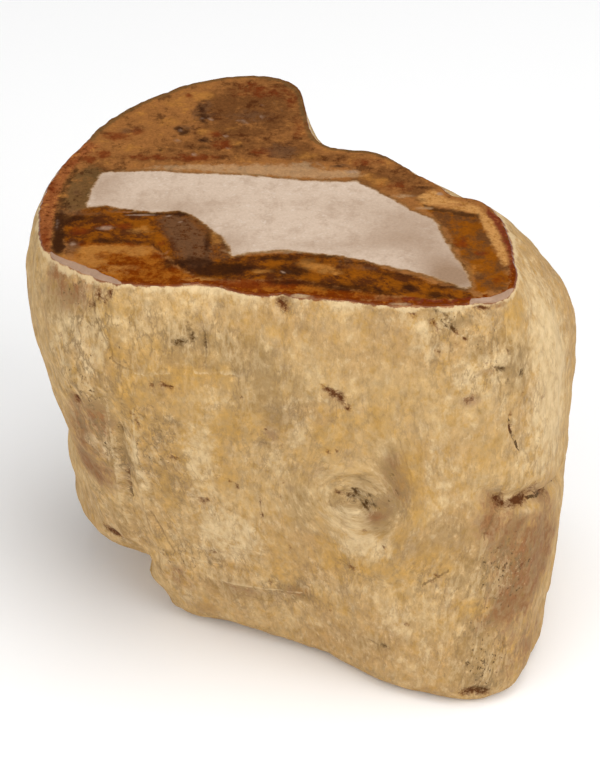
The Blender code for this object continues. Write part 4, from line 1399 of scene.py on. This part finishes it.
def weathered_rind(ragged_edge, grit):
    """The buff outer face: mottled stone with stains that feather along the grain, pits and fine grit."""
    finish, recipe, shader = new_finish("weathered_rind")
    place, grain = recipe.place("place"), recipe.place("grain")
    along_grain = recipe.scaled(grain, GRAIN_STRETCH)
    broad = recipe.cloud(place, *RIND_BROAD)
    patches = recipe.cloud(along_grain, *RIND_PATCHES)
    warmth = recipe.cloud(along_grain, *RIND_WARMTH)
    mottle = recipe.cloud(along_grain, *RIND_MOTTLE)
    fine = recipe.cloud(recipe.scaled(grain, FINE_STRETCH), *RIND_FINE)
    waves = recipe.cloud(recipe.scaled(grain, WAVE_STRETCH), *RIND_WAVES)
    speckled, creamy = recipe.amount("speckled"), recipe.amount("cream")

    # Buff stone in patches, more uneven where specks crowd
    colour = recipe.stones(broad, 0.40, 0.62, BUFF, TAN)
    uneven = recipe.ranged(speckled, 0.80, 1.0)
    for noise_used, low, high, strength, stone in (
        (patches, 0.50, 0.66, 0.60, PALE_BUFF), (patches, 0.47, 0.32, 0.78, LILAC_BUFF),
        (warmth, 0.51, 0.66, 0.75, OCHRE), (warmth, 0.47, 0.34, 0.50, CREAM),
    ):
        colour = recipe.laid(colour, stone, recipe.rise(noise_used, low, high), uneven, strength)

    # Stains, thinned where the mottling is low, by each one's evenness
    granular = recipe.rise(mottle, 0.34, 0.60)
    cold = recipe.flipped(warmth)
    for name, stone, strength, tear, evenness in (
        # grey_brown and mauve also hold painted shade on the left flank, on the step beside the knot and
        # in the knot's hollow
        ("grey_brown", GREY_BROWN, 0.80, warmth, 0.35), ("mauve", MAUVE, 1.0, cold, 0.50),
        # The cream amount holds painted light on the right flank and at the rim, besides pale stains
        ("ochre", OCHRE, 0.85, patches, 0.50), ("cream", CREAM, 0.80, cold, 0.60),
    ):
        amount = recipe.amount(name)
        stain = recipe.mask(ragged_edge, amount, tear, *STAIN_EDGE)
        shows, thinned = recipe.rise(amount, *STAIN_SHOWS), recipe.ranged(granular, evenness, 1.0)
        colour = recipe.laid(colour, stone, stain, shows, thinned, strength)

    # Light and dark mottling, strong where specks crowd and weak on cream
    contrast = recipe.plus(recipe.times(speckled, 0.80), 0.85)
    contrast = recipe.times(contrast, recipe.ranged(creamy, 1.0, 0.40))
    contrast = recipe.times(recipe.minus(mottle, 0.5), contrast)
    colour = recipe.toned(colour, recipe.plus(contrast, 1.0))
    colour = recipe.toned(colour, recipe.ranged(fine, 0.93, 1.07))
    fine_dark = recipe.rise(fine, 0.38, 0.26)
    colour = recipe.laid(colour, GREY_BROWN, fine_dark, recipe.ranged(speckled, 0.05, 0.40))

    # Thin wavy lines along the grain, grey ones and pale ones
    grey_line = recipe.rise(recipe.off(waves, 0.50), 0.036, 0.006)
    in_patches = recipe.rise(patches, 0.58, 0.46)
    colour = recipe.laid(colour, GREY_BROWN, grey_line, in_patches, recipe.ranged(speckled, 0.28, 0.75))
    pale_line = recipe.rise(recipe.off(waves, 0.40), 0.050, 0.010)
    off_mauve = recipe.ranged(recipe.amount("mauve"), 1.0, 0.20)
    colour = recipe.laid(colour, CREAM, pale_line, recipe.ranged(speckled, 0.10, 0.36), off_mauve)

    # Dark grains, most of them where specks crowd, and a few pale ones
    crowding = recipe.plus(recipe.times(speckled, 0.50), 0.04)
    grains = recipe.effect(grit, Place=along_grain, Size=RIND_GRIT_SIZE, Crowding=crowding)
    dark_grains = recipe.times(grains["Dark"], recipe.ranged(speckled, 0.15, 0.90))
    colour = recipe.blend(dark_grains, colour, SPECK_BROWN)
    colour = recipe.laid(colour, CREAM, grains["Light"], 0.35)

    # Cracks, wider where they are darker. A dark line is a crack's dark fill with painted shade in its
    # groove, and a pale line is a painted highlight on a ridge or ledge.
    wander = recipe.times(recipe.minus(warmth, 0.5), CRACK_WANDER)
    off_line = recipe.maths("ABSOLUTE", recipe.plus(recipe.amount("crack_side"), wander))
    crack_fill_shade_highlight = recipe.amount("crack_fill_shade_highlight")
    crack_width = recipe.plus(patches, recipe.times(recipe.maths("ABSOLUTE", crack_fill_shade_highlight), 0.35))
    crack = recipe.rise(recipe.minus(crack_width, off_line), *CRACK_EDGE)
    crack = recipe.times(crack, recipe.rise(recipe.amount("crack"), *CRACK_SHOWS))
    crack = recipe.times(crack, recipe.rise(mottle, *CRACK_BREAKS))
    painted_ridge_highlight = recipe.maths("MULTIPLY", crack_fill_shade_highlight, -1.0, clamped=True)
    colour = recipe.laid(colour, CREAM, crack, painted_ridge_highlight)
    colour = recipe.laid(colour, SPECK_BROWN, crack, recipe.maths("MAXIMUM", crack_fill_shade_highlight, 0.0))

    # Pits, a brown halo and a darker middle, both greyer in grey stone
    pit_tear = recipe.cloud(place, *PIT_NOISE)
    pitted = recipe.amount("pit")
    in_grey = recipe.rise(recipe.amount("grey_brown"), 0.10, 0.50)
    for stone, greyer, start, strength in (
        (BARK_RED, SPECK_BROWN, 0.30, 0.50), (UMBER, SPECK_OLIVE, 0.62, 0.95),
    ):
        pit = recipe.mask(ragged_edge, pitted, pit_tear, start, PIT_TORN, PIT_SOFTNESS)
        pit_stone = recipe.blend(in_grey, stone, greyer)
        colour = recipe.laid(colour, pit_stone, pit, recipe.rise(pitted, *PIT_SHOWS), strength)

    # Pale chips under the sawn rim, partly a painted highlight where the rim's edge catches the light, and
    # a thin red line along it
    near_rim = recipe.times(recipe.amount("rim_depth"), -1.0)
    pale_chips_and_highlight = recipe.mask(ragged_edge, near_rim, patches, *PALE_CHIP_HIGHLIGHT_BAND)
    colour = recipe.laid(colour, CREAM, pale_chips_and_highlight, 0.75)
    rim_line = recipe.mask(ragged_edge, near_rim, warmth, *RED_RIM_LINE)
    rim_stone = recipe.stones(patches, 0.44, 0.56, IRON_RED, BARK_ORANGE)
    colour = recipe.laid(colour, rim_stone, rim_line, 0.8)
    recipe.feed(shader["Base Color"], colour)
    recipe.feed(shader["Roughness"], recipe.ranged(patches, *RIND_ROUGHNESS))
    shader["Specular IOR Level"].default_value = RIND_MIRRORING

    height = recipe.plus(recipe.times(mottle, 1.5), recipe.times(fine, 0.4))
    height = recipe.minus(height, recipe.times(dark_grains, 0.4))
    height = recipe.times(height, recipe.ranged(creamy, 1.0, 0.50))
    bump = recipe.step("ShaderNodeBump", {"Height": height, "Strength": RIND_BUMP, "Distance": MM})
    recipe.feed(shader["Normal"], bump.outputs["Normal"])
    return finish


def polished_top(ragged_edge, grit):
    """The sawn face: a pale silica core between brown, orange and near-black agate, with iron-red rims."""
    finish, recipe, shader = new_finish("polished_top")
    place = recipe.place("place")
    veins = recipe.cloud(recipe.scaled(place, VEIN_STRETCH), *TOP_VEINS)
    flecks = recipe.cloud(place, *TOP_FLECKS)
    tear = recipe.cloud(place, *TOP_TEAR)
    backward = recipe.amount("backward")

    def three_stones(noise_used, dark, middle, light):
        toned = recipe.stones(noise_used, *DARK_TO_MIDDLE, dark, middle)
        return recipe.stones(noise_used, *MIDDLE_TO_LIGHT, toned, light)

    def zone(under, name, stone, torn, soft, strength=1.0, start=0.0):
        mask = recipe.mask(ragged_edge, recipe.amount(name), tear, start, torn, soft)
        return recipe.laid(under, stone, mask, strength)

    def spots(under, name, stone, torn, strength, start=SPOT_START):
        """Spots with torn edges that stay within their ovals."""
        within = recipe.rise(recipe.amount(name), *SPOT_SHOWS)
        return zone(under, name, stone, torn, SPOT_SOFTNESS, recipe.times(within, strength), start)

    # Brown stone all over, with darker spots and an olive rim at the back
    brown = three_stones(veins, DARK_WOOD, LOBE_BROWN, LOBE_ORANGE)
    orange = three_stones(veins, LOBE_BROWN, LOBE_ORANGE, LOBE_OCHRE)
    colour = spots(orange, "lobe_brown", brown, 1.0, 0.9, 0.38)
    olive_back = recipe.times(recipe.rise(backward, *OLIVE_BACK_FROM), OLIVE_BACK_WIDTH)
    olive_back = recipe.minus(olive_back, recipe.amount("from_rim"))
    olive_back = recipe.mask(ragged_edge, olive_back, tear, *OLIVE_BACK_EDGE)
    colour = recipe.laid(colour, OLIVE_RIM, olive_back, 0.75)

    # Thin bands in the dark lobe that follow the edge of the pale core
    bands = recipe.step("ShaderNodeCombineXYZ", {
        "X": recipe.step("ShaderNodeSeparateXYZ", {0: place}).outputs[0],
        "Y": recipe.amount("core"),
        "Z": veins,
    }).outputs[0]
    bands = recipe.cloud(recipe.scaled(bands, BAND_STRETCH), *TOP_BANDS)

    # Zones from the lowest up: stone, how far the edge is torn, its softness and the strength
    grey_speckle = three_stones(flecks, DARK_WOOD, PURPLE_GREY, PURPLE_GREY)
    for name, stone, torn, soft, strength in (
        ("olive", three_stones(veins, SEAM_BROWN, OLIVE_RIM, LOBE_ORANGE), 5.0, 2.5, 0.85),
        ("right_end", recipe.stones(veins, 0.40, 0.58, LOBE_BROWN, END_BROWN), 5.0, 2.0, 1.0),
        ("dark_lobe", recipe.stones(bands, 0.40, 0.60, DARK_WOOD, END_BROWN), 5.0, 1.5, 1.0),
        ("agate", recipe.stones(veins, 0.42, 0.60, AGATE_DEEP, AGATE_ORANGE), 6.0, 2.0, 1.0),
        ("grey_lobe", grey_speckle, 7.0, 4.0, 0.9),
        ("crescent", three_stones(flecks, DARK_WOOD, LOBE_BROWN, END_BROWN), 4.0, 1.8, 0.9),
        ("black_band", NEAR_BLACK, 8.0, 4.0, 0.9),
        ("bark", three_stones(flecks, BARK_RED, BARK_ORANGE, LOBE_OCHRE), 4.0, 1.8, 1.0),
        ("tan", three_stones(flecks, LOBE_OCHRE, TAN_BAND, TAN_BAND), 4.0, 1.6, 0.85),
        ("red", three_stones(flecks, BARK_RED, DEEP_RED, BARK_ORANGE), 4.0, 1.4, 0.9),
        ("seam", SEAM_BROWN, 4.0, 1.4, 0.8),
    ):
        colour = zone(colour, name, stone, torn, soft, strength)
    for name, stone, torn, strength in (
        ("top_ochre", LOBE_OCHRE, 1.0, 0.80), ("iron_red", IRON_RED, 1.0, 0.75),
        ("top_grey", grey_speckle, 0.9, 0.75), ("fringe", FRINGE, 1.2, 0.60),
        # The glint spots are painted highlights, laid in a pale pink
        ("top_dark", NEAR_BLACK, 0.7, 0.85), ("painted_glints", EDGE_STRIP_PINK, 0.6, 0.75),
    ):
        colour = spots(colour, name, stone, torn, strength)

    # The red and orange glow along the front rim, with pale chips in it that are partly painted highlight
    near_rim = recipe.times(recipe.amount("from_rim"), -1.0)
    front_glow = recipe.mask(ragged_edge, near_rim, tear, *FRONT_GLOW_BAND)
    glow_stone = three_stones(flecks, IRON_RED, AGATE_DEEP, AGATE_ORANGE)
    colour = recipe.laid(colour, glow_stone, front_glow, recipe.rise(backward, *FRONT_GLOW_FROM))
    colour = spots(colour, "chips", CREAM, 1.0, 0.7)

    # The brown and pale fringe round the core, then the light and dark grain of all this
    for stone, soft, strength, start in ((OLIVE_RIM, 1.6, 0.55, -2.0), (FRINGE, 1.0, 0.70, -0.6)):
        colour = zone(colour, "core", stone, 4.0, soft, strength, start)
    colour = recipe.toned(colour, recipe.ranged(flecks, 0.62, 1.38))
    grain = recipe.cloud(place, *TOP_GRAIN)
    colour = recipe.toned(colour, recipe.ranged(grain, 0.68, 1.32))
    dust = recipe.effect(grit, Place=place, Size=DUST_SIZE, Crowding=DUST_CROWDING)["Light"]
    colour = recipe.laid(colour, LILAC_GREY, dust, 0.16)

    # The pale core, then the red band and the ground strips at the rim
    core_shade = recipe.maths("MULTIPLY", recipe.amount("core_shade"), 0.8, clamped=True)
    silica = recipe.laid(PALE_SILICA, SILICA_SHADE, recipe.rise(veins, 0.44, 0.66), 0.35)
    silica = recipe.laid(silica, SILICA_LIGHT, recipe.rise(flecks, 0.54, 0.70), 0.6)
    silica = recipe.blend(core_shade, silica, SILICA_SHADE)
    silica = recipe.toned(silica, recipe.ranged(grain, 0.83, 1.17))
    colour = zone(colour, "core", silica, 2.2, 0.8)

    rim_band = recipe.mask(ragged_edge, near_rim, tear, *RED_RIM_BAND)
    colour = recipe.laid(colour, BARK_RED, rim_band, 0.45)
    strip_stone = recipe.toned(EDGE_STRIP_PINK, recipe.ranged(flecks, 0.75, 1.25))
    colour = recipe.blend(recipe.rise(recipe.amount("strip"), 0.1, 0.5), colour, strip_stone)
    recipe.feed(shader["Base Color"], colour)
    recipe.feed(shader["Roughness"], recipe.ranged(veins, *TOP_ROUGHNESS))
    shader["Specular IOR Level"].default_value = TOP_MIRRORING

    pits = recipe.times(recipe.rise(recipe.amount("top_dark"), 0.4, 0.9), -0.3)
    height = recipe.plus(pits, recipe.times(recipe.cloud(place, *TOP_BUMPS), 0.05))
    bump = recipe.step("ShaderNodeBump", {"Height": height, "Strength": TOP_BUMP, "Distance": MM})
    recipe.feed(shader["Normal"], bump.outputs["Normal"])
    return finish


def plain_finish(name, colour, roughness):
    """A finish of one even colour."""
    finish, _, shader = new_finish(name)
    shader["Base Color"].default_value = linear(colour)
    shader["Roughness"].default_value = roughness
    return finish


def pale_floor():
    """A wide pale floor, level with the block's foot."""
    corners = [(-1, -1), (1, -1), (1, 1), (-1, 1)]
    mesh = bpy.data.meshes.new("pale_floor")
    mesh.from_pydata([(FLOOR_REACH * x, FLOOR_REACH * y, 0.0) for x, y in corners], [], [(0, 1, 2, 3)])
    mesh.materials.append(plain_finish("pale_floor", FLOOR_WHITE, FLOOR_ROUGHNESS))
    floor = bpy.data.objects.new("pale_floor", mesh)
    bpy.context.scene.collection.objects.link(floor)


def soft_light(name, place, size, power):
    """A soft round lamp, aimed at the block."""
    lamp = bpy.data.lights.new(name, "AREA")
    lamp.shape = "DISK"
    lamp.size = size
    lamp.energy = power
    light = bpy.data.objects.new(name, lamp)
    light.location = place
    light.rotation_mode = "QUATERNION"
    light.rotation_quaternion = (Vector(LAMP_AIM) - Vector(place)).to_track_quat("-Z", "Y")
    bpy.context.scene.collection.objects.link(light)


def studio():
    """The lamps, and pale room light with a dark screen behind the block.

    The screen stands where the polished top would mirror the room towards the camera.
    """
    world = bpy.data.worlds.new("pale_room")
    world.use_nodes = True
    recipe = Recipe(world.node_tree)
    room = world.node_tree.nodes["Background"].inputs
    room["Color"].default_value = (1.0, 1.0, 1.0, 1.0)
    direction = recipe.step("ShaderNodeTexCoord", {}).outputs["Generated"]
    towards_screen = recipe.step(
        "ShaderNodeVectorMath", {0: direction, 1: SCREEN_DIRECTION}, operation="DOT_PRODUCT"
    ).outputs["Value"]
    room_share = recipe.rise(towards_screen, *SCREEN_EDGE)
    recipe.feed(room["Strength"], recipe.ranged(room_share, SCREEN_GLOW, ROOM_GLOW))
    bpy.context.scene.world = world
    for lamp in LAMPS:
        soft_light(*lamp)


def camera(shift):
    """The camera at the photograph's height and distance."""
    view = bpy.data.cameras.new("camera")
    view.sensor_width = SENSOR_WIDTH
    view.lens = FOCAL_PIXELS / PICTURE_HEIGHT * SENSOR_WIDTH
    stand = bpy.data.objects.new("camera", view)
    stand.location = Vector((CAMERA_PLACE - shift) * MM)
    stand.rotation_mode = "QUATERNION"
    stand.rotation_quaternion = Vector(-TOWARDS_CAMERA).to_track_quat("-Z", "Y")
    bpy.context.scene.collection.objects.link(stand)
    bpy.context.scene.camera = stand


block, centring = build_block()
effects = ragged_edge_effect(), grit_effect()
block.data.materials.append(weathered_rind(*effects))
block.data.materials.append(polished_top(*effects))
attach(block, "root")
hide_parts("petrified_wood")

pale_floor()
studio()
camera(centring)
bpy.context.scene.view_settings.view_transform = "Standard"
